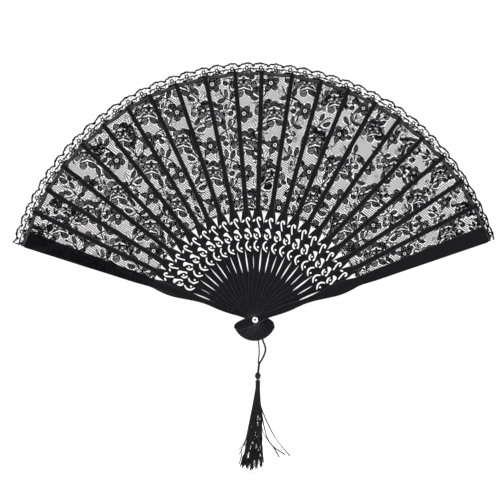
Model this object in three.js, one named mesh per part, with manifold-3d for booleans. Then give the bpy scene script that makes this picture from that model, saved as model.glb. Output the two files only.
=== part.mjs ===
// Folding hand fan with pierced sticks, a lace leaf with a scalloped edging, two broad
// guard sticks, a rivet and a silk tassel on a cord loop.
//
// Millimetres. The open fan stands in the XZ plane. The origin is the middle of the rivet's flat
// rear end; +Z is up the middle of the open leaf, and the rivet's axis runs along Y. The front
// guard faces -Y. Angles are in degrees from +X, counter-clockwise as seen from the front, so
// left is -X. Places along Y are measured from the middle of the stack of sticks.

import * as THREE from "three";
import { mergeVertices } from "three/addons/utils/BufferGeometryUtils.js";
import Module from "manifold-3d";

const wasm = await Module();
wasm.setup();

const { degToRad, lerp } = THREE.MathUtils;

// ---------------------------------------------------------------- driving dimensions

const REAR_GUARD_DEG = 160.9; // direction of the rear guard, the end of the fan that stays put
// Angle from each stick to the next, from the rear guard to the front guard, with the fan open.
const FOLD_DEG = [
  6.7, 6.05, 6.65, 6.75, 6.75, 6.85, 5.95, 6.65, 6.9, 7.0, 6.2,
  7.1, 6.95, 6.55, 6.85, 6.8, 6.9, 6.45, 7.1, 6.5, 6.9,
];
const RIB_COUNT = FOLD_DEG.length - 1;
const FRONT_GUARD = RIB_COUNT + 1; // stick number; the rear guard is stick 0

const RIB_THICK = 0.8; // pierced part of a rib
const RIB_LEAF_THICK = 0.4; // the part of a rib that carries the leaf
const RIB_PITCH = 1.1; // from one rib to the next through the stack
const GUARD_THICK = 2.2;
const GUARD_INNER_FACE = 11.15; // from the middle of the stack
const GUARD_OUTER_FACE = GUARD_INNER_FACE + GUARD_THICK;
const REAR_GUARD_RELIEF = 0.6; // depth taken off the guard's inner face under the leaf
const FRONT_GUARD_RELIEF = 0.3;
const RELIEF_START = 84.5; // distance from the rivet at which ribs and guards get thinner

const BORE_R = 1.62;
const SHANK_R = 1.5;
const RIVET_HEAD_R = 2.5;
const RIVET_HEAD_TALL = 0.9;
const RIVET_DIMPLE_R = 0.55;
const RIVET_DIMPLE_DEEP = 0.5;
const RIVET_HEAD_UNDERSIDE = -13.5;
const RIVET_END_R = 1.15; // flat rear end
const RIVET_END_PROUD = 0.5; // from the washer's rear face to the rivet's rear end
const WASHER_R = 2.9;
const WASHER_BORE_R = SHANK_R + 0.08;
const WASHER_THICK = 0.7;
const WASHER_FRONT = 14.75;
const WASHER_REAR = WASHER_FRONT + WASHER_THICK;
const RIVET_END = WASHER_REAR + RIVET_END_PROUD;

const LEAF_INNER_R = 86;
const LEAF_THICK = 0.2;
const LEAF_BEHIND_RIB = 0.45; // from a rib's middle back to the leaf's middle
const REAR_GUARD_LEAF_Y = 11.5; // the leaf's middle where it is glued to the rear guard
const FRONT_GUARD_LEAF_Y = -11.2;
const LEAF_FLAT = 2.4; // half width of the flat strip glued to each rib
const LEAF_SEAM = 0.15; // from a stick's middle line to the leaf panel beside it
const LEAF_LAP = 0.45; // a panel's right edge lies this far behind the next panel's left edge
const LEAF_END_DEG = 1.85; // how far the leaf runs past the middle line of each guard
const TAPE_INNER_R = 192.6;
const TAPE_OUTER_R = 195.6;
const TAPE_THICK = 0.4;
const TAPE_RAMP = 0.3; // distance over which the leaf thickens into the tape
const SCALLOP_DEEP = 2.6; // from a peak of the edging in to the valley beside it
const LEAST_VALLEY_R = 196.6;
// How far out the peaks of the edging reach: [direction in degrees, distance from the rivet].
const EDGE_REACH = [
  [15, 198.1], [30, 199.2], [37, 200.2], [44, 201.5], [57, 202.8], [72, 202.1],
  [85, 202.6], [98, 203.2], [117, 203.8], [130, 203.5], [145, 203.2], [163, 201.8],
];

const CORD_R = 0.5;
const CORD_GAP = 0.2; // between the rivet's shank and the cord loop
// The cord loop lies midway between the rear guard and the rear washer.
const CORD_Y = (GUARD_OUTER_FACE + WASHER_FRONT) / 2;
const TWIST_TOP_R = 0.75;
const TWIST_BOTTOM_R = 0.85;
const TWIST_LENGTH = 7.9;
const TWIST_TOP_X = 3.3;
const TWIST_TOP_Z = -35.7;
const TWIST_LEAN_DEG = 6; // to the left, going down
const TASSEL_X = 2.3;
const KNOT_Z = -46.2;
const KNOT_R = 2.35;
const KNOT_HALF_TALL = 2.7;
const NECK_TOP_Z = -49.2;
const NECK_BOTTOM_Z = -54.2;
const NECK_R = 1.85;
const SKIRT_TOP_Z = NECK_BOTTOM_Z - 0.4;
const SKIRT_LENGTH = 65.5;
const SKIRT_R = 9.2;
const SKIRT_LEAN_DEG = 4.8; // to the left, going down

// ---------------------------------------------------------------- stick outlines

// Half outlines of the sticks: [distance from the rivet, half width].
// headEnd is the distance from the rivet to the rounded end beyond it.
const lowerOutline = (headEnd) => [
  [-headEnd, 0], [0.8 - headEnd, 1.6], [3.2 - headEnd, 3.0], [-9.5, 3.65], [-5, 3.6],
  [0, 3.1], [7, 2.55], [13, 2.5], [19, 2.9], [25, 3.05], [31, 2.85], [37, 2.3],
  [42, 2.12], [48, 2.45], [54, 3.2],
];
const RIB_OUTLINE = [
  ...lowerOutline(17.0),
  [60, 3.9], [68, 4.45], [78, 4.95], [86, 2.05], [193.6, 1.72], [194.2, 1.2],
];
const guardOutline = (headEnd) => [
  ...lowerOutline(headEnd),
  [60, 4.1], [65, 4.8], [70, 5.15], [75, 5.0], [80, 4.45], [86, 3.6],
  [92, 3.75], [100, 4.25], [120, 4.75], [140, 5.35], [160, 5.85],
  [180, 6.4], [191, 6.7], [193, 6.0], [193.5, 4.6],
];

// Piercings of a rib: [distance from the rivet, offset to the left of the rib's middle line].
const COMMA = [
  [70.5, 2.6], [71.8, 1.0], [71.3, -0.82], [69.6, -1.4],
  [66.2, -2.86], [64.7, -1.9], [66.6, -1.5], [68.85, 0.1],
];
const SMALL_CRESCENT = [
  [67.5, 2.7], [67.5, 2.0], [65.3, 1.2], [63.94, -0.69], [63.25, -0.2], [64.3, 2.0],
];
const LONG_CRESCENT = [
  [62.1, 0.9], [60.0, 2.6], [57.6, 2.75], [55.3, 1.7], [53.4, -0.7],
  [54.4, -1.2], [56.2, 0.7], [57.8, 1.45], [59.4, 1.35], [61.3, 0.2],
];

// ---------------------------------------------------------------- materials

const blackWood = () =>
  new THREE.MeshStandardMaterial({ color: 0x1c1b1e, roughness: 0.48, metalness: 0 });
const blackLace = () =>
  new THREE.MeshStandardMaterial({ color: 0x232226, roughness: 0.85, metalness: 0 });
const rivetMetal = () =>
  new THREE.MeshStandardMaterial({ color: 0xe4e4e6, roughness: 0.2, metalness: 1 });
const blackSilk = () =>
  new THREE.MeshStandardMaterial({ color: 0x141416, roughness: 0.6, metalness: 0 });

// ---------------------------------------------------------------- groups and helpers

const fan = new THREE.Group();
const stack = new THREE.Group(); // moved so that the rivet's rear end is at the origin
stack.position.y = -RIVET_END;
fan.add(stack);

function addMesh(name, geometry, material, parent = stack) {
  const mesh = new THREE.Mesh(geometry, material);
  mesh.name = name;
  parent.add(mesh);
  return mesh;
}

// A group in the stack, turned about Y.
function addArm(x, y, z, turnDeg) {
  const arm = new THREE.Group();
  arm.position.set(x, y, z);
  arm.rotation.y = degToRad(turnDeg);
  stack.add(arm);
  return arm;
}

const toVectors = (points) => points.map(([x, y]) => new THREE.Vector2(x, y));

function circlePoints(radius, count) {
  return Array.from({ length: count }, (_, i) => {
    const angle = (2 * Math.PI * i) / count;
    return new THREE.Vector2(radius * Math.cos(angle), radius * Math.sin(angle));
  });
}

function flatShaded(indexed) {
  const flat = indexed.toNonIndexed();
  flat.computeVertexNormals();
  return flat;
}

function toSolid(geometry) {
  // Only positions are kept, so that corners with different normals merge.
  const bare = new THREE.BufferGeometry()
    .setAttribute("position", geometry.attributes.position)
    .setIndex(geometry.index);
  const merged = mergeVertices(bare, 1e-4);
  return new wasm.Manifold(
    new wasm.Mesh({
      numProp: 3,
      vertProperties: merged.attributes.position.array,
      triVerts: new Uint32Array(merged.index.array),
    }),
  );
}

function fromSolid(solid) {
  const { vertProperties, triVerts } = solid.getMesh();
  return flatShaded(
    new THREE.BufferGeometry()
      .setAttribute("position", new THREE.Float32BufferAttribute(vertProperties, 3))
      .setIndex(new THREE.BufferAttribute(new Uint32Array(triVerts), 1)),
  );
}

// Turned about Y; the profile is [radius, place along Y].
const turned = (profile, segments) => new THREE.LatheGeometry(toVectors(profile), segments);

// Turned about Z; the profile is [radius, place along Z].
const turnedUpright = (profile, segments) => turned(profile, segments).rotateX(Math.PI / 2);

// A cylinder standing along Z, centred on its own origin.
const uprightCylinder = (topR, bottomR, tall, segments) =>
  new THREE.CylinderGeometry(topR, bottomR, tall, segments).rotateX(Math.PI / 2);

// ---------------------------------------------------------------- sticks

const stickDeg = [REAR_GUARD_DEG];
for (const fold of FOLD_DEG) stickDeg.push(stickDeg.at(-1) - fold);

const ribY = (stick) => (FRONT_GUARD / 2 - stick) * RIB_PITCH;

// A flat bored plate in a stick's own frame: X along the stick, Z to the left, Y through the stack.
function plate(halfOutline, thick, piercings) {
  const rightSide = halfOutline.map(([along, half]) => [along, -half]);
  const leftSide = halfOutline.filter(([, half]) => half > 0).reverse();
  const shape = new THREE.Shape(toVectors([...rightSide, ...leftSide]));
  for (const piercing of piercings) shape.holes.push(new THREE.Path(toVectors(piercing)));
  shape.holes.push(new THREE.Path(circlePoints(BORE_R, 16)));
  return new THREE.ExtrudeGeometry(shape, { depth: thick, bevelEnabled: false, steps: 1 })
    .translate(0, 0, -thick / 2)
    .rotateX(Math.PI / 2);
}

// A block that takes the given depth off one face of a stick beyond RELIEF_START.
// side is -1 for the front face, 1 for the rear face.
function reliefBlock(thick, depth, side) {
  const length = 120;
  const tall = 5;
  const width = 30;
  return new THREE.BoxGeometry(length, tall, width).translate(
    RELIEF_START + length / 2,
    side * (thick / 2 + tall / 2 - depth),
    0,
  );
}

function stickGeometry({ outline, thick, piercings = [], frontRelief = 0, rearRelief = 0 }) {
  let solid = toSolid(plate(outline, thick, piercings));
  for (const [depth, side] of [[frontRelief, -1], [rearRelief, 1]]) {
    if (depth > 0) solid = solid.subtract(toSolid(reliefBlock(thick, depth, side)));
  }
  return fromSolid(solid);
}

function addStick(name, geometry, stick, y) {
  addMesh(name, geometry, blackWood(), addArm(0, y, 0, -stickDeg[stick]));
}

function addGuards() {
  const guardY = GUARD_INNER_FACE + GUARD_THICK / 2;
  const rear = stickGeometry({
    outline: guardOutline(16.2),
    thick: GUARD_THICK,
    frontRelief: REAR_GUARD_RELIEF,
  });
  const front = stickGeometry({
    outline: guardOutline(17.6),
    thick: GUARD_THICK,
    rearRelief: FRONT_GUARD_RELIEF,
  });
  addStick("rear_guard", rear, 0, guardY);
  addStick("front_guard", front, FRONT_GUARD, -guardY);
}

function addRibs() {
  const relief = (RIB_THICK - RIB_LEAF_THICK) / 2;
  const geometry = stickGeometry({
    outline: RIB_OUTLINE,
    thick: RIB_THICK,
    piercings: [COMMA, SMALL_CRESCENT, LONG_CRESCENT],
    frontRelief: relief,
    rearRelief: relief,
  });
  for (let k = 1; k <= RIB_COUNT; k++) {
    addStick(`rib_${String(k).padStart(2, "0")}`, geometry.clone(), k, ribY(k));
  }
}

// ---------------------------------------------------------------- leaf

// Columns of points across a panel, from its left edge to its right edge.
// turn: share of the angle between the sticks, used to find the edging's reach
// dip: share of the scallop's depth, 0 on a peak and 1 in a valley
// across: share of the way from the left glued strip to the right one
const PANEL_COLUMNS = [
  { turn: 0, dip: 1, across: 0 },
  { turn: 0.1, dip: 0.5, across: 0 },
  { turn: 0.3, dip: 0, across: 0.2 },
  { turn: 0.5, dip: 1, across: 0.5 },
  { turn: 0.7, dip: 0, across: 0.8 },
  { turn: 0.9, dip: 0.5, across: 1 },
  { turn: 1, dip: 1, across: 1 },
];

// Rows of points from the inner edge outwards; the last row follows the scallops.
const PANEL_ROWS = [
  { radius: LEAF_INNER_R, thick: LEAF_THICK },
  { radius: TAPE_INNER_R - TAPE_RAMP, thick: LEAF_THICK },
  { radius: TAPE_INNER_R, thick: TAPE_THICK },
  { radius: TAPE_OUTER_R, thick: TAPE_THICK },
  { scalloped: true, thick: LEAF_THICK },
];

// The leaf's middle where it is glued to a stick.
function leafY(stick) {
  if (stick === 0) return REAR_GUARD_LEAF_Y;
  if (stick === FRONT_GUARD) return FRONT_GUARD_LEAF_Y;
  return ribY(stick) + LEAF_BEHIND_RIB;
}

// [x, z] at a distance from the rivet along the line at deg, and an offset to the line's left.
function besideLine(deg, distance, offset) {
  const cos = Math.cos(degToRad(deg));
  const sin = Math.sin(degToRad(deg));
  return [distance * cos - offset * sin, distance * sin + offset * cos];
}

function edgeReach(deg) {
  const next = EDGE_REACH.findIndex(([direction]) => direction > deg);
  const [deg0, reach0] = EDGE_REACH[next - 1];
  const [deg1, reach1] = EDGE_REACH[next];
  return lerp(reach0, reach1, (deg - deg0) / (deg1 - deg0));
}

const scallopR = (deg, dip) => Math.max(edgeReach(deg) - dip * SCALLOP_DEEP, LEAST_VALLEY_R);

// [x, z] of a panel's left edge, which runs past the middle line of the rear guard.
const leftEdge = (panel, radius) =>
  panel === 1
    ? besideLine(stickDeg[0] + LEAF_END_DEG, radius, 0)
    : besideLine(stickDeg[panel - 1], radius, -LEAF_SEAM);

// [x, z] of a panel's right edge, which runs past the middle line of the front guard.
const rightEdge = (panel, radius) =>
  panel === FRONT_GUARD
    ? besideLine(stickDeg[panel] - LEAF_END_DEG, radius, 0)
    : besideLine(stickDeg[panel], radius, LEAF_SEAM);

// [x, z] of a point of a panel in column j.
function panelPoint(panel, j, radius) {
  if (j === 0) return leftEdge(panel, radius);
  if (j === PANEL_COLUMNS.length - 1) return rightEdge(panel, radius);
  const [leftX, leftZ] = besideLine(stickDeg[panel - 1], radius, -LEAF_FLAT);
  const [rightX, rightZ] = besideLine(stickDeg[panel], radius, LEAF_FLAT);
  const { across } = PANEL_COLUMNS[j];
  return [lerp(leftX, rightX, across), lerp(leftZ, rightZ, across)];
}

// A front point and a rear point for every row and column.
function panelPositions(panel) {
  const leftY = leafY(panel - 1);
  const rightY = leafY(panel) + (panel === FRONT_GUARD ? 0 : LEAF_LAP);
  const positions = [];
  for (const row of PANEL_ROWS) {
    PANEL_COLUMNS.forEach(({ turn, dip, across }, j) => {
      const deg = lerp(stickDeg[panel - 1], stickDeg[panel], turn);
      const radius = row.scalloped ? scallopR(deg, dip) : row.radius;
      const [x, z] = panelPoint(panel, j, radius);
      const y = lerp(leftY, rightY, across);
      positions.push(x, y - row.thick / 2, z, x, y + row.thick / 2, z);
    });
  }
  return positions;
}

// Triangles of a panel. Seen from the front, i runs outwards and j runs to the right.
function panelIndex() {
  const index = [];
  const lastRow = PANEL_ROWS.length - 1;
  const lastColumn = PANEL_COLUMNS.length - 1;
  const front = (i, j) => (i * PANEL_COLUMNS.length + j) * 2;
  const rear = (i, j) => front(i, j) + 1;
  const quad = (a, b, c, d) => index.push(a, b, c, a, c, d);

  for (let i = 0; i < lastRow; i++) {
    for (let j = 0; j < lastColumn; j++) {
      quad(front(i, j), front(i, j + 1), front(i + 1, j + 1), front(i + 1, j));
      quad(rear(i, j), rear(i + 1, j), rear(i + 1, j + 1), rear(i, j + 1));
    }
  }
  // Inner and outer edges.
  for (let j = 0; j < lastColumn; j++) {
    quad(front(0, j), rear(0, j), rear(0, j + 1), front(0, j + 1));
    quad(front(lastRow, j), front(lastRow, j + 1), rear(lastRow, j + 1), rear(lastRow, j));
  }
  // Left and right edges.
  for (let i = 0; i < lastRow; i++) {
    quad(front(i, 0), front(i + 1, 0), rear(i + 1, 0), rear(i, 0));
    quad(
      front(i, lastColumn), rear(i, lastColumn),
      rear(i + 1, lastColumn), front(i + 1, lastColumn),
    );
  }
  return index;
}

// Panel k lies between sticks k - 1 and k: a thin sheet that is flat where it is glued to each
// stick and slopes forward between them, with a hem tape and a scalloped edging. Its right edge
// lies behind the next panel, so that each slides clear over the next as the fan closes.
function addLeaf() {
  for (let k = 1; k <= FRONT_GUARD; k++) {
    const geometry = new THREE.BufferGeometry()
      .setAttribute("position", new THREE.Float32BufferAttribute(panelPositions(k), 3))
      .setIndex(panelIndex());
    addMesh(`leaf_panel_${String(k).padStart(2, "0")}`, flatShaded(geometry), blackLace());
  }
}

// ---------------------------------------------------------------- rivet and washer

function addRivet() {
  const headFront = RIVET_HEAD_UNDERSIDE - RIVET_HEAD_TALL;
  const profile = [
    [0, headFront + RIVET_DIMPLE_DEEP],
    [RIVET_DIMPLE_R * 0.8, headFront + RIVET_DIMPLE_DEEP * 0.9],
    [RIVET_DIMPLE_R, headFront],
    [1.3, headFront],
    [2.1, RIVET_HEAD_UNDERSIDE - RIVET_HEAD_TALL * 0.65],
    [RIVET_HEAD_R, RIVET_HEAD_UNDERSIDE - 0.2],
    [RIVET_HEAD_R, RIVET_HEAD_UNDERSIDE],
    [SHANK_R, RIVET_HEAD_UNDERSIDE],
    [SHANK_R, WASHER_REAR + 0.1],
    [RIVET_END_R, RIVET_END],
    [0, RIVET_END],
  ];
  addMesh("rivet", turned(profile, 24), rivetMetal());
}

function addWasher() {
  const profile = [
    [WASHER_BORE_R, WASHER_FRONT],
    [WASHER_R, WASHER_FRONT],
    [WASHER_R, WASHER_REAR - 0.2],
    [WASHER_R - 0.3, WASHER_REAR],
    [WASHER_BORE_R, WASHER_REAR],
    [WASHER_BORE_R, WASHER_FRONT],
  ];
  addMesh("rear_washer", turned(profile, 24), rivetMetal());
}

// ---------------------------------------------------------------- cord and tassel

// The loop climbs to the left of the rivet, passes over it and comes down on the right.
function addCordLoop() {
  const loopR = SHANK_R + CORD_GAP + CORD_R;
  const sideX = loopR * 0.94;
  const sideZ = loopR * 0.35;
  // [x, z] along the cord's middle line.
  const course = [
    [2.6, -34.9], [3.4, -26.0], [2.4, -17.0], [-0.6, -8.0], [-2.0, -2.0],
    [-sideX, sideZ], [0, loopR], [sideX, sideZ],
    [2.6, -4.0], [4.6, -11.4], [6.0, -16.6], [8.4, -24.0], [7.2, -29.4], [4.3, -34.9],
  ];
  const path = new THREE.CatmullRomCurve3(
    course.map(([x, z]) => new THREE.Vector3(x, CORD_Y, z)),
    false,
    "centripetal",
  );
  const geometry = new THREE.ExtrudeGeometry(new THREE.Shape(circlePoints(CORD_R, 8)), {
    steps: 44,
    extrudePath: path,
    bevelEnabled: false,
  });
  addMesh("cord_loop", geometry, blackSilk());
}

function addTwistedCord() {
  const geometry = uprightCylinder(TWIST_TOP_R, TWIST_BOTTOM_R, TWIST_LENGTH, 12);
  geometry.translate(0, 0, -TWIST_LENGTH / 2);
  const arm = addArm(TWIST_TOP_X, CORD_Y, TWIST_TOP_Z, TWIST_LEAN_DEG);
  addMesh("twisted_cord", geometry, blackSilk(), arm);
}

function addKnot() {
  const profile = [
    [0, -KNOT_HALF_TALL],
    [KNOT_R * 0.62, -KNOT_HALF_TALL * 0.86],
    [KNOT_R * 0.93, -KNOT_HALF_TALL * 0.45],
    [KNOT_R, 0],
    [KNOT_R * 0.93, KNOT_HALF_TALL * 0.45],
    [KNOT_R * 0.62, KNOT_HALF_TALL * 0.7],
    [0, KNOT_HALF_TALL * 0.8],
  ];
  const knot = addMesh("tassel_knot", turnedUpright(profile, 16), blackSilk());
  knot.position.set(TASSEL_X, CORD_Y, KNOT_Z);
}

function addBinding() {
  const geometry = uprightCylinder(NECK_R, NECK_R, NECK_TOP_Z - NECK_BOTTOM_Z, 16);
  const binding = addMesh("tassel_binding", geometry, blackSilk());
  binding.position.set(TASSEL_X, CORD_Y, (NECK_TOP_Z + NECK_BOTTOM_Z) / 2);
}

function addSkirt() {
  const profile = [
    [0, -SKIRT_LENGTH],
    [SKIRT_R * 0.8, -SKIRT_LENGTH],
    [SKIRT_R, -SKIRT_LENGTH + 4],
    [SKIRT_R * 0.86, -SKIRT_LENGTH * 0.72],
    [SKIRT_R * 0.64, -SKIRT_LENGTH * 0.4],
    [SKIRT_R * 0.42, -SKIRT_LENGTH * 0.15],
    [2.1, -1.2],
    [1.5, 0],
    [0, 0],
  ];
  const arm = addArm(TASSEL_X, CORD_Y, SKIRT_TOP_Z, SKIRT_LEAN_DEG);
  addMesh("tassel_skirt", turnedUpright(profile, 20), blackSilk(), arm);
}

// ---------------------------------------------------------------- assembly

addGuards();
addRibs();
addLeaf();
addRivet();
addWasher();
addCordLoop();
addTwistedCord();
addKnot();
addBinding();
addSkirt();

export default fan;
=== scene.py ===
"""A folding lace hand fan, spread open: black sticks, pleated lace leaf, rivet and silk tassel.

The sticks turn about the rivet, whose axis is Y at x = z = 0, and spread upwards in the XZ plane.
Angles run from +X towards +Z, so the rear guard lies at the left and the front guard at the
right. The front faces -Y. Lengths are millimetres until a mesh is made.
"""

import math

import bpy
import numpy as np
from mathutils import Matrix, Vector


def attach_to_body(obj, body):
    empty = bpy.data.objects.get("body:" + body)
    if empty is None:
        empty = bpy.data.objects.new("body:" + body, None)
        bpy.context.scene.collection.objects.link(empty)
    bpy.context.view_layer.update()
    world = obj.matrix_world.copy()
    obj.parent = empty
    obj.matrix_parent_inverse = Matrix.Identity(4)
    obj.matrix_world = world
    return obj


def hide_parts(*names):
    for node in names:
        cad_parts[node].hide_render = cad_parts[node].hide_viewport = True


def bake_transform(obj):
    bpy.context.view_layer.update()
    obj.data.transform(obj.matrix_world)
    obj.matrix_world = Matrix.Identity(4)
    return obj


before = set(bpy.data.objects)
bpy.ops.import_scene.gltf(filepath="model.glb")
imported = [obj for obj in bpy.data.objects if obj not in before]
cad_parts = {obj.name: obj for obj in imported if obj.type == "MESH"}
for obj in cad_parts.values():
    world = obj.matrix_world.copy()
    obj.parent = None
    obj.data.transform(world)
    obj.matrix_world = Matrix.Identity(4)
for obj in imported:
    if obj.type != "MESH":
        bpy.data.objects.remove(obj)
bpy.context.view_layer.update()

MM = 0.001

# Sticks, numbered from the left: 0 rear guard, 1..20 ribs, 21 front guard
STACK_Y = -15.95  # middle of the stack; the rivet's rear end is at y = 0
REAR_GUARD_DEG = 160.9
FOLD_DEG = [  # angle from each stick to the next
    6.7, 6.05, 6.65, 6.75, 6.75, 6.85, 5.95, 6.65, 6.9, 7.0, 6.2, 7.1, 6.95,
    6.55, 6.85, 6.8, 6.9, 6.45, 7.1, 6.5, 6.9,
]
STICK = np.radians(np.subtract.accumulate([REAR_GUARD_DEG, *FOLD_DEG]))
RIBS = range(1, 21)
FRONT = 21
PANELS = range(1, FRONT + 1)  # panel p lies between sticks p - 1 and p
BODY = ["rear_guard"] + [f"rib_{k:02d}" for k in RIBS] + ["front_guard"]
RIB_PITCH = 1.1

# Leaf
LEAF_IN = 86.0  # radius of the inner edge
TAPE_IN, TAPE_OUT = 192.9, 195.4  # radii of the hem tape
END = math.radians(1.85)  # how far the cloth runs past the outer sticks
LEFT_END, RIGHT_END = STICK[0] + END, STICK[FRONT] - END


def rib_y(k):
    """Depth of a rib's middle, from the middle of the stack."""
    return (10.5 - k) * RIB_PITCH


# ------------------------------------------------------------------ plane shapes


def around(count):
    """Even angles round a full turn."""
    return np.linspace(0, 2 * math.pi, count, endpoint=False)


def unit(vectors):
    return vectors / (np.linalg.norm(vectors, axis=1)[:, None] + 1e-12)


def sideways(directions):
    """Unit vectors a quarter turn from the given plane directions."""
    directions = unit(directions)
    return np.column_stack([-directions[:, 1], directions[:, 0]])


def polar(theta, radius):
    return np.column_stack([radius * np.cos(theta), radius * np.sin(theta)])


def turned(points, angle, centre=(0.0, 0.0)):
    """Plane points turned about the origin, then moved to the centre."""
    x, y = np.asarray(points, float).T
    cos, sin = math.cos(angle), math.sin(angle)
    return np.column_stack([centre[0] + x * cos - y * sin, centre[1] + x * sin + y * cos])


def oval(centre, radius_x, radius_y, turn=0.0, count=16):
    angles = around(count)
    ring = np.column_stack([radius_x * np.cos(angles), radius_y * np.sin(angles)])
    return turned(ring, turn, centre)


def catmull(points, steps, closed=False):
    """A smooth line through the points, with some steps from each to the next."""
    points = np.asarray(points, float)
    if closed:
        knots = np.vstack([points[-1], points, points[0], points[1]])
    else:
        knots = np.vstack([2 * points[0] - points[1], points, 2 * points[-1] - points[-2]])
    t = np.linspace(0, 1, steps, endpoint=False)[:, None]
    line = []
    for before, start, end, after in zip(knots, knots[1:], knots[2:], knots[3:]):
        line.append(
            0.5 * (2 * start + (end - before) * t
                   + (2 * before - 5 * start + 4 * end - after) * t**2
                   + (3 * start - before - 3 * end + after) * t**3)
        )
    line = np.vstack(line)
    return line if closed else np.vstack([line, points[-1]])


# ------------------------------------------------------------------ meshes


def add_mesh(name, points, faces, material, smooth=False):
    """points N x 3 in mm; faces a list of integer arrays, each M x 3 or M x 4."""
    points = np.asarray(points, float).reshape(-1, 3) * MM
    mesh = bpy.data.meshes.new(name)
    mesh.vertices.add(len(points))
    mesh.vertices.foreach_set("co", points.astype(np.float32).ravel())
    corners = np.concatenate([group.ravel() for group in faces]).astype(np.int32)
    sizes = np.concatenate([np.full(len(group), group.shape[1], np.int32) for group in faces])
    starts = np.concatenate([[0], np.cumsum(sizes)[:-1]]).astype(np.int32)
    mesh.loops.add(len(corners))
    mesh.loops.foreach_set("vertex_index", corners)
    mesh.polygons.add(len(sizes))
    mesh.polygons.foreach_set("loop_start", starts)
    mesh.update(calc_edges=True)
    mesh.validate()
    if smooth:
        mesh.polygons.foreach_set("use_smooth", np.ones(len(mesh.polygons), bool))
    mesh.materials.append(material)
    return link(name, mesh)


def link(name, data):
    """A new object in the scene."""
    made = bpy.data.objects.new(name, data)
    bpy.context.scene.collection.objects.link(made)
    return made


def attach(part, body, replaced=None):
    """Hangs a part on a CAD body and hides the CAD piece it stands in for."""
    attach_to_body(part, body)
    if replaced:
        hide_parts(replaced)


def skin(rings, sides, closed=False):
    """Quads between neighbouring rings of points; closed joins the last ring to the first."""
    i = np.arange(rings if closed else rings - 1)[:, None] * sides
    j = np.arange(sides)[None, :]
    after_i, after_j = (i + sides) % (rings * sides), (j + 1) % sides
    return np.stack([i + j, i + after_j, after_i + after_j, after_i + j], -1).reshape(-1, 4)


class Bag:
    """Points and faces gathered piece by piece."""

    def __init__(self):
        self.points, self.tris, self.quads, self.count = [], [], [], 0

    def add(self, points, quads, tris=()):
        self.points.append(points)
        self.quads.append(quads + self.count)
        if len(tris):
            self.tris.append(np.array(tris) + self.count)
        self.count += len(points)

    def build(self, name, material):
        faces = [np.concatenate(group) for group in (self.tris, self.quads) if group]
        return add_mesh(name, np.concatenate(self.points), faces, material, smooth=True)


def tube(bag, path, radius, sides=6, closed=False):
    """A round rod along a 3-D line; radius is a number or one per point."""
    path = np.asarray(path, float)
    count = len(path)
    radius = np.broadcast_to(radius, count)
    if closed:
        tangent = unit(np.roll(path, -1, 0) - np.roll(path, 1, 0))
    else:
        tangent = unit(np.gradient(path, axis=0))
    side = np.array([0.0, 1.0, 0.0] if abs(tangent[0][1]) < 0.8 else [1.0, 0.0, 0.0])
    across = np.zeros_like(path)
    for i in range(count):  # carried along the line, so the rod doesn't twist
        side = side - tangent[i] * (side @ tangent[i])
        side = side / (np.linalg.norm(side) + 1e-12)
        across[i] = side
    normal = np.cross(tangent, across)
    angles = around(sides)[None, :, None]
    rings = path[:, None] + radius[:, None, None] * (
        np.cos(angles) * across[:, None] + np.sin(angles) * normal[:, None]
    )
    points, tris = rings.reshape(-1, 3), []
    if not closed:
        points = np.vstack([points, path[0], path[-1]])
        cap, last = count * sides, (count - 1) * sides
        for k in range(sides):
            after = (k + 1) % sides
            tris += [[cap, after, k], [cap + 1, last + k, last + after]]
    bag.add(points, skin(count, sides, closed), tris)


def lathe(bag, profile, centre, axis, segments):
    """A profile of [radius, distance along the axis], turned about the axis through centre."""
    radius, along = np.asarray(profile, float).T[:, :, None]
    along = along * np.ones((1, segments))
    cos, sin = radius * np.cos(around(segments)), radius * np.sin(around(segments))
    points = np.stack([cos, along, -sin] if axis == "y" else [cos, sin, along], -1)
    bag.add(points.reshape(-1, 3) + np.asarray(centre, float), skin(len(profile), segments))


# ------------------------------------------------------------------ materials


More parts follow.
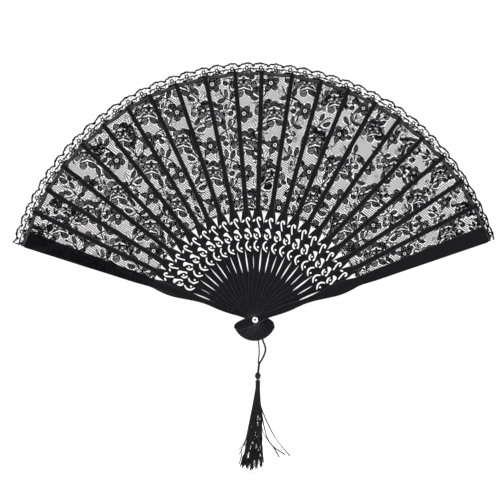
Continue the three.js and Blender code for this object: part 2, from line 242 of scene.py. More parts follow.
class Shader:
    """A material with its principled surface, and short ways to add nodes."""

    def __init__(self, name):
        self.material = bpy.data.materials.new(name)
        self.material.use_nodes = True
        self.tree = self.material.node_tree
        self.coords = self.node("TexCoord", {}, "Object")

    def feed(self, node, inputs):
        """Sets inputs to plain values or links them to other nodes' outputs."""
        for key, value in inputs.items():
            if isinstance(value, bpy.types.NodeSocket):
                self.tree.links.new(value, node.inputs[key])
            else:
                node.inputs[key].default_value = value

    def node(self, kind, inputs, output=0, **settings):
        """Adds a node and returns one of its outputs."""
        made = self.tree.nodes.new("ShaderNode" + kind)
        for key, value in settings.items():
            setattr(made, key, value)
        self.feed(made, inputs)
        return made.outputs[output]

    def maths(self, operation, *values, kind="Math"):
        return self.node(kind, dict(enumerate(values)), operation=operation)

    def noise(self, scale, detail, roughness=0.5, vector=None):
        vector = vector or self.coords
        inputs = {"Vector": vector, "Scale": scale, "Detail": detail, "Roughness": roughness}
        return self.node("TexNoise", inputs, "Fac")

    def weighted(self, first, first_weight, second, second_weight):
        """first * first_weight + second * second_weight."""
        second = self.maths("MULTIPLY", second, second_weight)
        return self.maths("MULTIPLY_ADD", first, first_weight, second)

    def ramp(self, factor, start, low, end, high):
        """From low at start to high at end, each a colour or a grey level."""
        made = self.tree.nodes.new("ShaderNodeValToRGB")
        stops = ((start, low), (end, high))
        for element, (place, colour) in zip(made.color_ramp.elements, stops):
            colour = (colour,) * 3 if isinstance(colour, float) else colour
            element.position = place
            element.color = (*colour, 1)
        self.feed(made, {"Fac": factor})
        return made.outputs["Color"]

    def mix(self, factor, first, second, blend="MIX"):
        inputs = {"Fac": factor, "Color1": first, "Color2": second}
        return self.node("MixRGB", inputs, blend_type=blend)

    def bump(self, height, strength, distance, **below):
        """Relief of the given depth in metres, over the Normal below if there is one."""
        inputs = {"Height": height, "Strength": strength, "Distance": distance, **below}
        return self.node("Bump", inputs)

    def finish(self, inputs):
        self.feed(self.tree.nodes["Principled BSDF"], inputs)
        return self.material


def wood(name, dark, light, edge):
    """Black-dyed bamboo: straight grain along the stick's own X, fine pores, satin lacquer."""
    shader = Shader(name)
    # each stick's grain is shifted by its own random amount
    shift = shader.maths("MULTIPLY", shader.node("ObjectInfo", {}, "Random"), 7.0)
    shift = shader.node("CombineXYZ", {"Y": shift, "Z": shift})
    along = shader.maths(
        "MULTIPLY_ADD", shader.coords, (14.0, 900.0, 900.0), shift, kind="VectorMath")
    grain = shader.noise(scale=1.0, detail=6.0, roughness=0.65, vector=along)
    fine = shader.maths("MULTIPLY", shader.coords, (120.0, 5200.0, 5200.0), kind="VectorMath")
    pores = shader.noise(scale=1.0, detail=3.0, roughness=0.6, vector=fine)
    blotches = shader.noise(scale=42.0, detail=3.0)
    dye = shader.ramp(grain, start=0.3, low=dark, end=0.7, high=light)
    pore_shade = shader.ramp(pores, start=0.35, low=0.45, end=0.6, high=1.15)
    dye = shader.mix(0.5, dye, pore_shade, "MULTIPLY")
    blotch_shade = shader.ramp(blotches, start=0.3, low=0.8, end=0.7, high=1.2)
    dye = shader.mix(0.6, dye, blotch_shade, "MULTIPLY")
    # the eased edges are painted a little paler, patchy with the blotches: a painted highlight
    # along the bevels
    normal = shader.node("NewGeometry", {}, "True Normal")
    facing = shader.maths("ABSOLUTE", shader.node("SeparateXYZ", {0: normal}, "Y"))
    slope = shader.node("MapRange", {"Value": facing, "From Min": 0.95, "From Max": 0.6})
    edge_highlight_mask = shader.maths("MULTIPLY", slope, blotches)
    dye = shader.mix(edge_highlight_mask, dye, (edge, edge * 0.99, edge * 1.08, 1))
    relief = shader.bump(grain, strength=0.25, distance=0.00008)
    return shader.finish({
        "Base Color": dye,
        "Roughness": shader.ramp(grain, start=0.3, low=0.6, end=0.7, high=0.45),
        "Specular IOR Level": 0.1,
        "Normal": shader.bump(pores, strength=0.2, distance=0.00004, Normal=relief),
    })


def thread(name, colour, roughness, specular, ply_scale, sheen=0.0):
    """Yarn: fine ply lines and uneven dye."""
    spread = 0.35  # how far the dye strays from the colour
    shader = Shader(name)
    plies = shader.noise(scale=ply_scale, detail=2.0)
    uneven = shader.noise(scale=60.0, detail=3.0)
    low = tuple(level * (1 - spread) for level in colour)
    high = tuple(level * (1 + spread) for level in colour)
    factor = shader.weighted(plies, 0.6, uneven, 0.4)
    return shader.finish({
        "Base Color": shader.ramp(factor, start=0.35, low=low, end=0.65, high=high),
        "Roughness": roughness,
        "Specular IOR Level": specular,
        "Sheen Weight": sheen,
        "Sheen Roughness": 0.4,
        "Normal": shader.bump(plies, strength=0.4, distance=0.00005),
    })


def cloth(name, pitch):
    """Close cloth of threads crossing on the slant; pitch in mm."""
    shader = Shader(name)
    scaled = shader.node("Mapping", {"Vector": shader.coords, "Scale": (1000.0 / pitch,) * 3})
    x, z = (shader.node("SeparateXYZ", {0: scaled}, axis) for axis in "XZ")
    waves = []
    for slant in (1, -1):
        across = shader.maths("MULTIPLY_ADD", z, slant, x)
        waves.append(shader.maths("SINE", shader.maths("MULTIPLY", across, 3.1416)))
    crossings = shader.maths("MULTIPLY", *waves)
    height = shader.node("MapRange", {"Value": crossings, "From Min": -1, "From Max": 1})
    uneven = shader.noise(scale=350.0, detail=3.0)
    factor = shader.weighted(height, 0.55, uneven, 0.5)
    low, high = (0.025, 0.024, 0.026), (0.07, 0.068, 0.071)
    return shader.finish({
        "Base Color": shader.ramp(factor, start=0.25, low=low, end=0.8, high=high),
        "Roughness": 0.8,
        "Specular IOR Level": 0.2,
        "Normal": shader.bump(height, strength=0.5, distance=0.0001),
    })


def steel(name):
    shader = Shader(name)
    mottle = shader.noise(scale=900.0, detail=4.0)
    low, high = (0.80, 0.80, 0.81), (0.95, 0.95, 0.95)
    return shader.finish({
        "Base Color": shader.ramp(mottle, start=0.3, low=low, end=0.7, high=high),
        "Roughness": shader.ramp(mottle, start=0.3, low=0.3, end=0.7, high=0.4),
        "Metallic": 1.0,
    })


def pale_floor(name):
    shader = Shader(name)
    mottle = shader.noise(scale=30.0, detail=4.0)
    return shader.finish({
        "Base Color": shader.ramp(mottle, start=0.3, low=0.93, end=0.7, high=0.96),
        "Roughness": 0.9,
        "Specular IOR Level": 0.1,
        "Emission Color": (1, 1, 1, 1),
        "Emission Strength": 0.45,
    })


# edge sets the grey of the painted highlight on the sticks' eased edges
RIB_WOOD = wood(
    "rib_wood_black", dark=(0.0024, 0.0022, 0.0034), light=(0.0072, 0.0066, 0.0096), edge=0.22)
GUARD_WOOD = wood(
    "guard_wood_black", dark=(0.0022, 0.0021, 0.003), light=(0.0066, 0.0062, 0.0086), edge=0.16)
NET_THREAD = thread("lace_net_thread", colour=(0.0105, 0.0103, 0.0145),
                    roughness=0.85, specular=0.05, ply_scale=2600.0)
CORD_THREAD = thread("lace_outline_cord", colour=(0.0024, 0.0023, 0.0032),
                     roughness=0.8, specular=0.06, ply_scale=2600.0)
FILL_THREAD = thread("lace_filled_stitch", colour=(0.0085, 0.0083, 0.0115),
                     roughness=0.85, specular=0.06, ply_scale=3200.0)
TAPE_CLOTH = cloth("hem_tape_cloth", pitch=0.5)
SILK = thread("black_silk", colour=(0.0034, 0.0034, 0.0046),
              roughness=0.42, specular=0.3, ply_scale=3500.0, sheen=0.04)
STEEL = steel("rivet_bright_steel")

# ------------------------------------------------------------------ sticks

# Half outlines: [distance from the rivet, half width]
HANDLE = [
    [-9.5, 3.65], [-5, 3.6], [0, 3.1],
    [7, 2.55], [13, 2.5], [19, 2.9], [25, 3.05], [31, 2.85], [37, 2.3],
    [42, 2.12], [48, 2.45], [54, 3.2],
]
RIB = [[60, 3.9], [68, 4.45], [73, 4.8], [76.8, 4.64]]
RIB_TOP = [
    [79.0, 4.45], [81.0, 4.15], [83.2, 3.7], [85.2, 3.2], [87.0, 2.35], [88.5, 1.98],
    [195.9, 1.75], [196.2, 1.5],
]
GUARD = [
    [60, 4.1], [65, 4.8], [70, 5.15], [75, 5.0], [80, 4.45], [86, 3.6],
    [92, 3.75], [100, 4.25], [120, 4.75], [140, 5.35], [160, 5.85],
    [180, 6.4], [190.5, 6.68],
]
GUARD_TOP = [[192.3, 6.5], [193.2, 5.9], [193.5, 5.0]]
THIN_FROM = 83.6  # beyond this the sticks are thinner


def stick_outline(tail, upper, top):
    """Closed outline, tail mm behind the rivet: smooth to the end of upper, straight in top."""
    lower = [[-tail, 0], [0.8 - tail, 1.6], [3.2 - tail, 3.0]] + HANDLE
    half = catmull(lower + upper, 4)
    half[:, 1] = np.maximum(half[:, 1], 0)
    half = np.vstack([half, top])
    return np.vstack([half * [1, -1], half[1:][::-1]])


def stroke(points, widths):
    """The outline of a stroke of changing width, with round ends."""
    middle = catmull(points, 6)
    width = np.interp(
        np.linspace(0, 1, len(middle)), np.linspace(0, 1, len(widths)), widths)
    along = unit(np.gradient(middle, axis=0))
    across = sideways(along)
    offset = across * width[:, None] / 2

    def cap(i, sign):
        return [
            middle[i] + sign * width[i] / 2 * (math.cos(k) * across[i] + math.sin(k) * along[i])
            for k in np.linspace(0, math.pi, 6)[1:-1]
        ]

    return np.vstack([middle + offset, cap(-1, 1), (middle - offset)[::-1], cap(0, -1)])


# Piercings in [distance from the rivet, offset towards the stick on the left]
PIERCINGS = [
    stroke([[78.6, -2.0], [79.9, -1.55], [80.3, -0.4], [79.0, 0.42], [77.1, 0.05],
            [75.1, -0.75], [72.9, -1.65]],
           [1.25, 1.2, 1.05, 1.0, 1.0, 1.0, 0.95]),
    oval((77.9, 2.95), 1.3, 0.68, math.radians(-42)),
    catmull([[70.5, 2.65], [71.6, 1.5], [71.95, 0.2], [71.3, -0.85], [69.7, -1.4],
             [67.5, -2.25], [66.0, -2.9], [65.0, -2.6], [64.65, -1.8], [65.4, -1.5],
             [66.6, -1.6], [67.6, -1.1], [68.85, 0.1], [69.5, 1.4], [70.0, 2.4]], 3, True),
    catmull([[67.5, 2.7], [67.45, 2.05], [65.9, 1.6], [64.76, 0.6], [63.95, -0.7],
             [63.25, -0.35], [63.3, 0.95], [64.3, 2.1], [65.6, 2.8]], 3, True),
    oval((66.6, 0.5), 0.68, 0.6),
    stroke([[61.7, 0.6], [59.8, 1.95], [57.7, 2.15], [55.8, 1.3], [54.0, -0.9]],
           [0.95, 1.2, 1.35, 1.25, 0.85]),
    oval((56.9, -0.85), 0.82, 0.7),
]
BORE = oval((0, 0), 1.6, 1.6, count=24)


def get_points(mesh):
    points = np.empty(len(mesh.vertices) * 3)
    mesh.vertices.foreach_get("co", points)
    return points.reshape(-1, 3)


def set_points(mesh, points):
    mesh.vertices.foreach_set("co", points.astype(np.float32).ravel())
    mesh.update()


def plate(name, outline, holes, thick, bevel, material):
    """A flat stick with piercings and eased edges, in its own frame: X along it, Z to the left."""
    curve = bpy.data.curves.new(name, "CURVE")
    curve.dimensions = "2D"
    curve.fill_mode = "BOTH"
    for points in [outline] + holes:
        spline = curve.splines.new("POLY")
        count = len(points)
        spline.points.add(count - 1)
        rows = np.column_stack([points * MM, np.zeros(count), np.ones(count)])
        spline.points.foreach_set("co", rows.ravel())
        spline.use_cyclic_u = True
    curve.extrude = (thick / 2 - bevel) * MM
    curve.bevel_depth = bevel * MM
    curve.bevel_resolution = 1
    curve.offset = -bevel * MM
    holder = link(name + "_curve", curve)
    bpy.context.view_layer.update()
    depsgraph = bpy.context.evaluated_depsgraph_get()
    mesh = bpy.data.meshes.new_from_object(holder.evaluated_get(depsgraph))
    bpy.data.objects.remove(holder)
    bpy.data.curves.remove(curve)
    mesh.name = name
    mesh.materials.clear()
    mesh.materials.append(material)
    x, y, z = get_points(mesh).T
    set_points(mesh, np.column_stack([x, -z, y]))
    return mesh


def thin(mesh, front, back):
    """Takes in the front and back faces of a stick by these factors beyond THIN_FROM."""
    points = get_points(mesh)
    weight = np.clip((points[:, 0] / MM - THIN_FROM) / 1.2, 0, 1)
    y = points[:, 1]
    factor = np.where(y < 0, front, back)
    points[:, 1] = y * (1 - weight) + y * factor * weight
    set_points(mesh, points)


def place_stick(mesh, k, y):
    stick = link(f"vis_{BODY[k]}", mesh)
    turn = Matrix.Rotation(-STICK[k], 4, "Y")
    stick.matrix_world = Matrix.Translation((0, (STACK_Y + y) * MM, 0)) @ turn
    attach(stick, BODY[k], BODY[k])


rib_outline = stick_outline(17.4, RIB, RIB_TOP)
rib_mesh = plate("rib_plate", rib_outline, PIERCINGS + [BORE], 0.8, 0.22, RIB_WOOD)
thin(rib_mesh, front=0.5, back=0.5)
for k in RIBS:
    place_stick(rib_mesh, k, rib_y(k))

# stick, depth in the stack, thinning of the front and back faces, tail behind the rivet
for k, y, front, back, tail in ((0, 12.25, 0.4545, 1.0, 16.2), (FRONT, -12.25, 1.0, 0.727, 17.6)):
    outline = stick_outline(tail, GUARD, GUARD_TOP)
    mesh = plate(f"{BODY[k]}_plate", outline, [BORE], 2.2, 0.45, GUARD_WOOD)
    thin(mesh, front, back)
    place_stick(mesh, k, y)

# ------------------------------------------------------------------ where the cloth lies

FLAT = 2.25  # the cloth lies flat for this width beside each stick
BEHIND_RIB = 0.42  # from a rib's middle back to the cloth
LEFT_END_Y, RIGHT_END_Y = 11.5, -11.2  # depth of the cloth at the guards


def leaf_y(x, z):
    """Depth of the cloth at points of the open fan, and the panel each lies in (1..21)."""
    radius = np.hypot(x, z)
    theta = np.arctan2(z, x)
    panel = np.clip(np.searchsorted(-STICK, -theta, side="right"), 1, FRONT)
    from_left = radius * np.sin(STICK[panel - 1] - theta)
    from_right = radius * np.sin(theta - STICK[panel])
    left_y = np.where(panel == 1, LEFT_END_Y, rib_y(panel - 1) + BEHIND_RIB)
    right_y = np.where(panel == FRONT, RIGHT_END_Y, rib_y(panel) + BEHIND_RIB)
    t = np.clip((from_left - FLAT) / np.maximum(from_left + from_right - 2 * FLAT, 0.5), 0, 1)
    return left_y + (right_y - left_y) * t, panel


def hem_shift(theta):
    """The hem wanders in and out a little round the arc."""
    return np.interp(np.degrees(theta), [20, 45, 60, 100, 117, 135, 161],
                     [-0.8, -0.6, -0.2, 0.2, 0.8, 0.0, -0.6])


def edge_reach(theta):
    """Radius of the peaks of the edging."""
    return np.interp(
        np.degrees(theta), [15, 30, 37, 44, 57, 72, 85, 98, 117, 130, 145, 163],
        [198.1, 199.2, 200.2, 201.5, 202.8, 202.1, 202.6, 203.2, 203.8, 203.5, 203.2, 202.2])


def eased(theta):
    """The edging is gathered unevenly: its scallops bunch up here and stretch there."""
    degrees = np.degrees(theta)
    return np.radians(degrees + np.interp(
        degrees, [20, 31, 36, 57, 62, 90, 100, 110, 117, 122, 130, 140, 152, 157, 164],
        [0, 0, 1.2, 1.15, 1.5, 1.4, 1.4, 1.85, 2.6, 3.5, 3.7, 3.4, 2.9, 2.0, 1.8]))


def inside_leaf(points, outer=TAPE_IN + 0.4):
    """Which points lie on the lace, from its inner edge to the outer radius."""
    radius = np.hypot(points[:, 0], points[:, 1])
    theta = np.arctan2(points[:, 1], points[:, 0])
    return ((radius > LEAF_IN + 0.3) & (radius < outer + hem_shift(theta))
            & (theta < LEFT_END) & (theta > RIGHT_END))


class Lace:
    """Straight thread segments: starts, ends, sideways directions at both, widths, thicknesses
    and lifts towards +Y."""

    def __init__(self):
        self.runs = []

    def add(self, starts, ends, start_side, end_side, width, thick, lift=0.0):
        sizes = [np.full(len(starts), size) for size in (width, thick, lift)]
        self.runs.append((starts, ends, start_side, end_side, *sizes))

    def line(self, points, width, lift=0.0, closed=False):
        points = np.asarray(points, float)
        if closed:
            side = sideways(np.roll(points, -1, 0) - np.roll(points, 1, 0))
            points, side = np.vstack([points, points[:1]]), np.vstack([side, side[:1]])
        else:
            side = sideways(np.gradient(points, axis=0))
        thick = min(0.44, width * 0.7)
        self.add(points[:-1], points[1:], side[:-1], side[1:], width, thick, lift)

    def segments(self, starts, ends, width, thick):
        side = sideways(ends - starts)
        self.add(starts, ends, side, side, width, thick)

    def arrays(self):
        return [np.concatenate(column) for column in zip(*self.runs)]

    def by_panel(self):
        """The arrays of each panel, by its number."""
        arrays = self.arrays()
        middle = (arrays[0] + arrays[1]) / 2
        panel = leaf_y(middle[:, 0], middle[:, 1])[1]
        return {p: [values[panel == p] for values in arrays] for p in PANELS}


def thread_mesh(name, arrays, material):
    """Each segment is a prism of diamond section lying in the cloth."""
    starts, ends, start_side, end_side, width, thick, lift = arrays
    points = np.empty((len(starts), 8, 3))
    for e, (spot, side) in enumerate(((starts, start_side), (ends, end_side))):
        y = leaf_y(spot[:, 0], spot[:, 1])[0] + STACK_Y + lift
        for c, (out, back) in enumerate(((1, 0), (0, 1), (-1, 0), (0, -1))):
            points[:, e * 4 + c, 0] = spot[:, 0] + out * side[:, 0] * width / 2
            points[:, e * 4 + c, 2] = spot[:, 1] + out * side[:, 1] * width / 2
            points[:, e * 4 + c, 1] = y + back * thick / 2
    quads = np.arange(len(starts))[:, None, None] * 8 + skin(2, 4)
    return add_mesh(name, points, [quads.reshape(-1, 4)], material)


# ------------------------------------------------------------------ lace: map of the pattern

CELL = 0.2  # side of the map's square cells
MAP_AT = np.array([-200.0, 20.0])  # x and z of its corner
MAP = np.zeros((int(190 / CELL), int(400 / CELL)), np.uint8)
FILLED, OPEN = 1, 2  # bits of a cell


def mark(outline, value, grow=0.0):
    """Marks the inside of a closed outline on the map, grown outwards from its middle."""
    if grow:
        centre = outline.mean(0)
        spokes = outline - centre
        lengths = np.linalg.norm(spokes, axis=1)[:, None] + 1e-9
        outline = centre + spokes * (lengths + grow) / lengths
    low = ((outline.min(0) - MAP_AT) / CELL).astype(int)
    high = ((outline.max(0) - MAP_AT) / CELL).astype(int) + 2
    column0, row0 = np.maximum(low, 0)
    column1, row1 = np.minimum(high, MAP.shape[::-1])
    if row0 >= row1 or column0 >= column1:
        return
    x = (np.arange(column0, column1) + 0.5) * CELL + MAP_AT[0]
    z = (np.arange(row0, row1) + 0.5) * CELL + MAP_AT[1]
    x, z = np.meshgrid(x, z)
    inside = np.zeros(x.shape, bool)
    for (x0, z0), (x1, z1) in zip(outline, np.roll(outline, -1, 0)):
        if z0 != z1:
            inside ^= ((z < z0) != (z < z1)) & (x < (x1 - x0) * (z - z0) / (z1 - z0) + x0)
    MAP[row0:row1, column0:column1][inside] |= value


def look(points):
    """The map's value under each point."""
    cells = ((points - MAP_AT) / CELL).astype(int)
    column, row = np.clip(cells, 0, np.array(MAP.shape[::-1]) - 1).T
    return MAP[row, column]


# ------------------------------------------------------------------ lace: motifs

cords = Lace()
patches = {"dark": [], "grey": [], "core": []}  # outlines of filled stitches


def add_cord(points, width, closed=False, lift=0.0):
    """A cord, kept only where it lies on the leaf."""
    if closed:
        points = np.vstack([points, points[:1]])
    inside = inside_leaf(points)
    for run in np.split(np.arange(len(points)), np.flatnonzero(np.diff(inside)) + 1):
        if inside[run[0]] and len(run) >= 2:
            cords.line(points[run], width * 1.38 + 0.058, lift)


def leaf_shape(length, width, tip=1.0, bend=0.0):
    """Control points of a pointed leaf along +X, from its half length and half width."""
    points = length * np.array(
        [[-1, 0], [-0.62, 0], [0, 0], [0.6, 0], [tip, 0], [0.6, 0], [0, 0], [-0.62, 0]])
    points[:, 1] = width * np.array([0, 0.72, 1, 0.74, 0, -0.74, -1, -0.72])
    points[:, 1] += bend * (points[:, 0] / length) ** 2
    return points


class Spot:
    """A spot of the pattern: draws local millimetres on the plane of the open leaf."""

    def __init__(self, centre, up, size, flip=1):
        self.centre, self.size, self.flip = np.asarray(centre, float), size, flip
        self.up = np.array([math.cos(up), math.sin(up)])
        self.side = np.array([self.up[1], -self.up[0]])

    def at(self, points):
        points = np.asarray(points, float)
        sideways_part = points[:, :1] * self.flip * self.side
        return self.centre + self.size * (sideways_part + points[:, 1:] * self.up)

    def cord(self, points, width, closed=False, lift=0.0):
        add_cord(self.at(points), width, closed, lift)

    def patch(self, points, cord, fill, halo=0.0, steps=3):
        """A closed stitch: an outline cord, filled or open, with a clear halo round it."""
        ring = self.at(catmull(points, steps, True))
        add_cord(ring, cord * (0.75 + 0.25 * self.size), True)
        if fill:
            patches[fill].append(ring)
        mark(ring, FILLED if fill else OPEN)
        if halo:
            mark(ring, OPEN, halo)

    def disc(self, x, y, radius, cord):
        self.patch(oval((x, y), radius, radius, count=8), cord, "dark", steps=2)

    def leaf(self, x, y, length, width, degrees, kind="dark", tip=1.0, bend=0.0):
        """length and width are halves."""

        def own(points):
            return turned(points, math.radians(degrees), (x, y))

        outline = own(leaf_shape(length, width, tip, bend))
        if kind in ("dark", "grey"):
            self.patch(outline, 0.5, kind, halo=0.8)
            vein = own([[-length * 0.9, 0], [0, bend * 0.1], [length * 0.8, 0]])
            self.cord(vein, 0.36, lift=-0.12)
        elif kind == "double":
            self.patch(outline, 0.46, None, halo=0.6)
            inner = leaf_shape(length * 0.62, width * 0.5, tip, bend * 0.5)
            self.patch(own(inner), 0.36, "dark")
        elif kind == "open":
            self.patch(outline, 0.44, None, halo=0.6)
            self.cord(own([[-length, 0], [length * 0.9, 0]]), 0.34)
            for start in (-0.5, -0.15, 0.2, 0.5):
                for side in (1, -1):
                    end = [(start + 0.28) * length, side * 0.6 * width]
                    self.cord(own([[start * length, 0], end]), 0.24)
        elif kind == "bud":
            self.patch(outline, 0.44, None, halo=0.6)
            self.patch(own(leaf_shape(length * 0.6, width * 0.58)), 0.34, None)
            self.cord(own([[0, -width * 0.35], [0, width * 0.35]]), 0.4)
            self.cord(own([[length * 0.2, -width * 0.3], [length * 0.2, width * 0.3]]), 0.3)


PETAL = [[1.75, 0.5], [2.7, 1.65], [4.3, 2.4], [5.7, 2.05], [6.7, 0.8],
         [6.75, -0.8], [5.7, -2.05], [4.3, -2.4], [2.7, -1.65], [1.75, -0.5]]
LONG_PETAL = [[1.75, 0.5], [2.7, 1.65], [4.3, 2.2], [6.0, 1.75], [7.4, 0.8], [8.4, -0.1],
              [7.2, -0.9], [5.8, -1.8], [4.2, -2.1], [2.7, -1.6], [1.75, -0.5]]
PETAL_STEM = np.array([[8.3, -0.1], [9.6, -0.9], [11.0, -0.8], [12.4, 0.6]])


def flower(spot, phase):
    """Five petals round an open ring with a stitch at its centre; two run out into stems."""
    for k in range(5):
        angle = math.radians(phase + 72 * k)
        has_stem = k in (1, 2)
        spot.patch(turned(LONG_PETAL if has_stem else PETAL, angle), 0.52, "dark", halo=0.6)
        spot.cord(turned([[2.1, 0], [4.6, 0.2]], angle), 0.34, lift=-0.12)
        if has_stem:
            stem = PETAL_STEM * [1, 1 if k == 1 else -1]
            spot.cord(catmull(turned(stem, angle), 4), 0.55)
    mark(spot.at(oval((0, 0), 1.8, 1.8, count=20)), OPEN, 0.15)
    spot.cord(oval((0, 0), 2.0, 2.0, count=20), 0.5, closed=True)
    spot.disc(0, 0, 0.5, 0.42)
    for degrees in (20, 140, 260):
        spot.cord(turned([[0.4, 0], [1.9, 0]], math.radians(degrees + phase)), 0.13)


BLOOM_CORE = [
    [-6.6, 1.6], [-4.6, 4.9], [-1.8, 6.4], [1.8, 6.4], [4.6, 4.9], [6.6, 1.6], [6.4, -3.2],
    [5.2, -6.2], [1.8, -5.0], [0, -4.4], [-1.8, -5.0], [-5.2, -6.2], [-6.4, -3.2],
]
BLOOM_SLITS = [
    [[-5.4, 1.5], [-3.5, 4.1], [-1.0, 5.2], [-0.9, 4.2], [-2.9, 3.1], [-4.7, 1.1]],
    [[5.4, 1.5], [3.5, 4.1], [1.0, 5.2], [0.9, 4.2], [2.9, 3.1], [4.7, 1.1]],
    [[-5.5, -4.9], [-2.4, -3.7], [0, -2.3], [2.4, -3.7], [5.5, -4.9], [4.6, -5.3],
     [2.2, -4.7], [0, -3.6], [-2.2, -4.7], [-4.6, -5.3]],
]
BLOOM_HOLES = [  # x, y, radius
    (-2.3, 0.9, 0.6), (2.0, 0.5, 0.65), (-3.7, -1.3, 0.6), (4.1, -1.7, 0.5), (0.3, -1.1, 0.45),
]


def bloom(spot):
    """The broad flower: rounded leaves above and below a pierced core with zigzag cords."""
    core = spot.at(catmull(BLOOM_CORE, 3, True))
    patches["core"].append(core)
    mark(core, FILLED)
    for slit in BLOOM_SLITS:
        mark(spot.at(slit), OPEN)
    for x, y, radius in BLOOM_HOLES:
        mark(spot.at(oval((x, y), radius, radius, count=8)), OPEN)
    spot.leaf(0.3, 8.2, 3.3, 2.0, 4, "dark", bend=-0.9)
    spot.leaf(-5.5, 6.6, 3.0, 2.3, 38, "grey", bend=-0.5)
    spot.leaf(6.0, 5.9, 3.0, 2.1, -36, "dark", bend=-0.5)
    wave = catmull([[-6.6, 0.9], [-4.9, 3.4], [-2.3, 4.4], [0, 3.7], [2.3, 4.4], [4.9, 3.4],
                    [6.6, 0.9]], 4)
    spot.cord(wave - [0, 1.3], 0.8)
    arch = [[-6.4, 1.9], [-3.9, 5.1], [0, 6.5], [3.9, 5.1], [6.4, 1.9]]
    spot.cord(catmull(arch, 4), 0.6)
    lower_arch = [[-5.9, -5.9], [-2.6, -4.9], [0, -4.6], [2.6, -4.9], [5.9, -5.9]]
    spot.cord(catmull(lower_arch, 4), 0.6)
    spot.disc(0, 4.3, 0.62, 0.5)
    spot.disc(0, 1.4, 0.6, 0.45)
    spot.leaf(-7.9, -0.9, 3.1, 2.3, 82, "grey", bend=0.4)
    spot.leaf(7.9, -1.1, 3.1, 2.3, 98, "grey", bend=-0.4)
    spot.cord([[-6.0, -1.9], [-3.9, 0.9], [-2.1, -0.9], [0, 0.6], [2.1, -0.9], [3.9, 0.9],
               [6.0, -1.9]], 0.6)
    spot.cord([[-5.6, -4.2], [-3.2, -2.3], [-1.4, -2.9], [0, -1.9], [1.4, -2.9], [3.2, -2.3],
               [5.6, -4.2]], 0.6)
    spot.leaf(-3.1, -8.0, 3.1, 2.7, 12, "grey", bend=0.5)
    spot.leaf(3.9, -7.5, 3.6, 2.1, -22, "dark", bend=0.6)
    spot.leaf(9.0, -5.6, 2.0, 1.6, -30)
    side = [[-9.2, -7.4], [-11.0, -5.0], [-11.2, -1.5], [-10.0, 2.0], [-8.4, 4.6]]
    spot.cord(catmull(side, 3), 0.55)


# Each sprig: stems (width, points), then leaves (the arguments of Spot.leaf)
SPRIGS = [
    ([(0.7, [[-9.5, -8.0], [-6.4, -4.0], [-2.0, -1.2], [1.6, 0.4], [4.4, 3.2], [7.0, 8.4]]),
      (0.5, [[-2.0, -1.2], [-1.6, -4.6], [0.6, -8.6]])],
     [(-3.6, 3.0, 3.7, 1.9, 112, "dark", 1.15),
      (1.6, 4.6, 3.3, 1.6, 78, "grey", 1.1),
      (5.2, -1.4, 3.7, 1.8, -24, "dark", 1.1, 0.8),
      (-5.6, -7.6, 2.9, 2.2, 20, "dark"),
      (1.9, -6.2, 4.3, 2.3, -66, "double"),
      (8.2, 3.4, 3.1, 2.3, 80, "bud")]),
    ([(0.7, [[9.0, -9.0], [5.4, -5.0], [2.6, -2.0], [0.0, 1.6], [-3.4, 4.4], [-8.6, 6.2]]),
      (0.5, [[2.6, -2.0], [-1.6, -4.0], [-6.8, -4.4]])],
     [(4.6, 3.0, 4.3, 2.3, 64, "open", 1.1),
      (-0.4, 6.2, 3.4, 1.7, 118, "dark", 1.15),
      (-4.6, -0.2, 3.5, 1.9, 158, "dark", 1.1, -0.7),
      (-1.8, -7.2, 3.2, 1.8, -110, "double"),
      (7.4, -2.6, 3.0, 1.8, 12, "dark"),
      (3.4, -7.6, 2.7, 2.1, 70, "grey")]),
]


def sprig(spot, kind):
    """Stems with leaves, filling the gaps between the flowers."""
    stems, leaves = SPRIGS[kind]
    for width, points in stems:
        spot.cord(catmull(points, 4), width)
    for row in leaves:
        spot.leaf(*row)


def leaf_and_bud(spot, kind):
    """A round leaf and a ringed bud side by side."""
    spot.leaf(2.5, 0.3, 2.5, 2.2, 30, kind)
    spot.leaf(-2.6, 0.9, 2.5, 2.1, 100, "bud")
    spot.cord(catmull([[4.6, 1.6], [3.4, 4.6], [0.0, 5.4], [-3.0, 4.4]], 3), 0.5)


# ------------------------------------------------------------------ lace: laying out the motifs

# The pattern repeats in columns and rows that lie a little skewed on the leaf: x and z for each
# term of the polynomial in lattice().
LATTICE = np.array([
    [17.77, 116.54], [124.94, 6.28], [3.39, -69.8], [-7.95, 3.52],
    [3.57, 0.07], [1.23, 1.0], [-6.01, -8.77], [0.49, 1.72],
])
NUDGE = {  # (column, row): x and z shift of that flower
    (0, 0): (-3.0, -0.8), (0, 2): (-1.0, -2.4), (0, 4): (-0.1, -5.6), (1, 1): (-0.7, -0.4),
    (1, 3): (0.3, -1.7), (2, 2): (1.8, 3.5), (-2, 2): (-1.5, -1.7), (-3, 1): (-2.5, 1.1),
    (-3, 3): (0.3, -1.3), (-4, 4): (1.6, 1.8), (-5, 3): (-0.7, 3.1), (-5, 5): (-0.7, 3.9),
    (-4, 6): (1.5, 3.3), (5, 3): (-3.9, -2.2), (5, 5): (-1.5, 0.1), (2, 6): (3.6, 5.2),
    (0, 1): (-0.8, -1.3), (1, 2): (5.9, -0.6), (2, 1): (-0.7, 6.5), (0, 3): (-4.5, -3.5),
    (1, 0): (1.6, -2.9), (-3, 2): (2.2, 1.6), (-4, 3): (2.0, 1.9), (-5, 2): (4.3, 0.3),
    (-5, 4): (0.1, 0.5), (-3, 4): (-3.2, -2.7), (3, 2): (6.0, 6.0), (5, 2): (-3.9, -4.4),
    (5, 4): (-3.4, 0.1),
}
COLUMN_PITCH, ROW_PITCH = 24.6, 22.5  # spacing at which motifs are full size
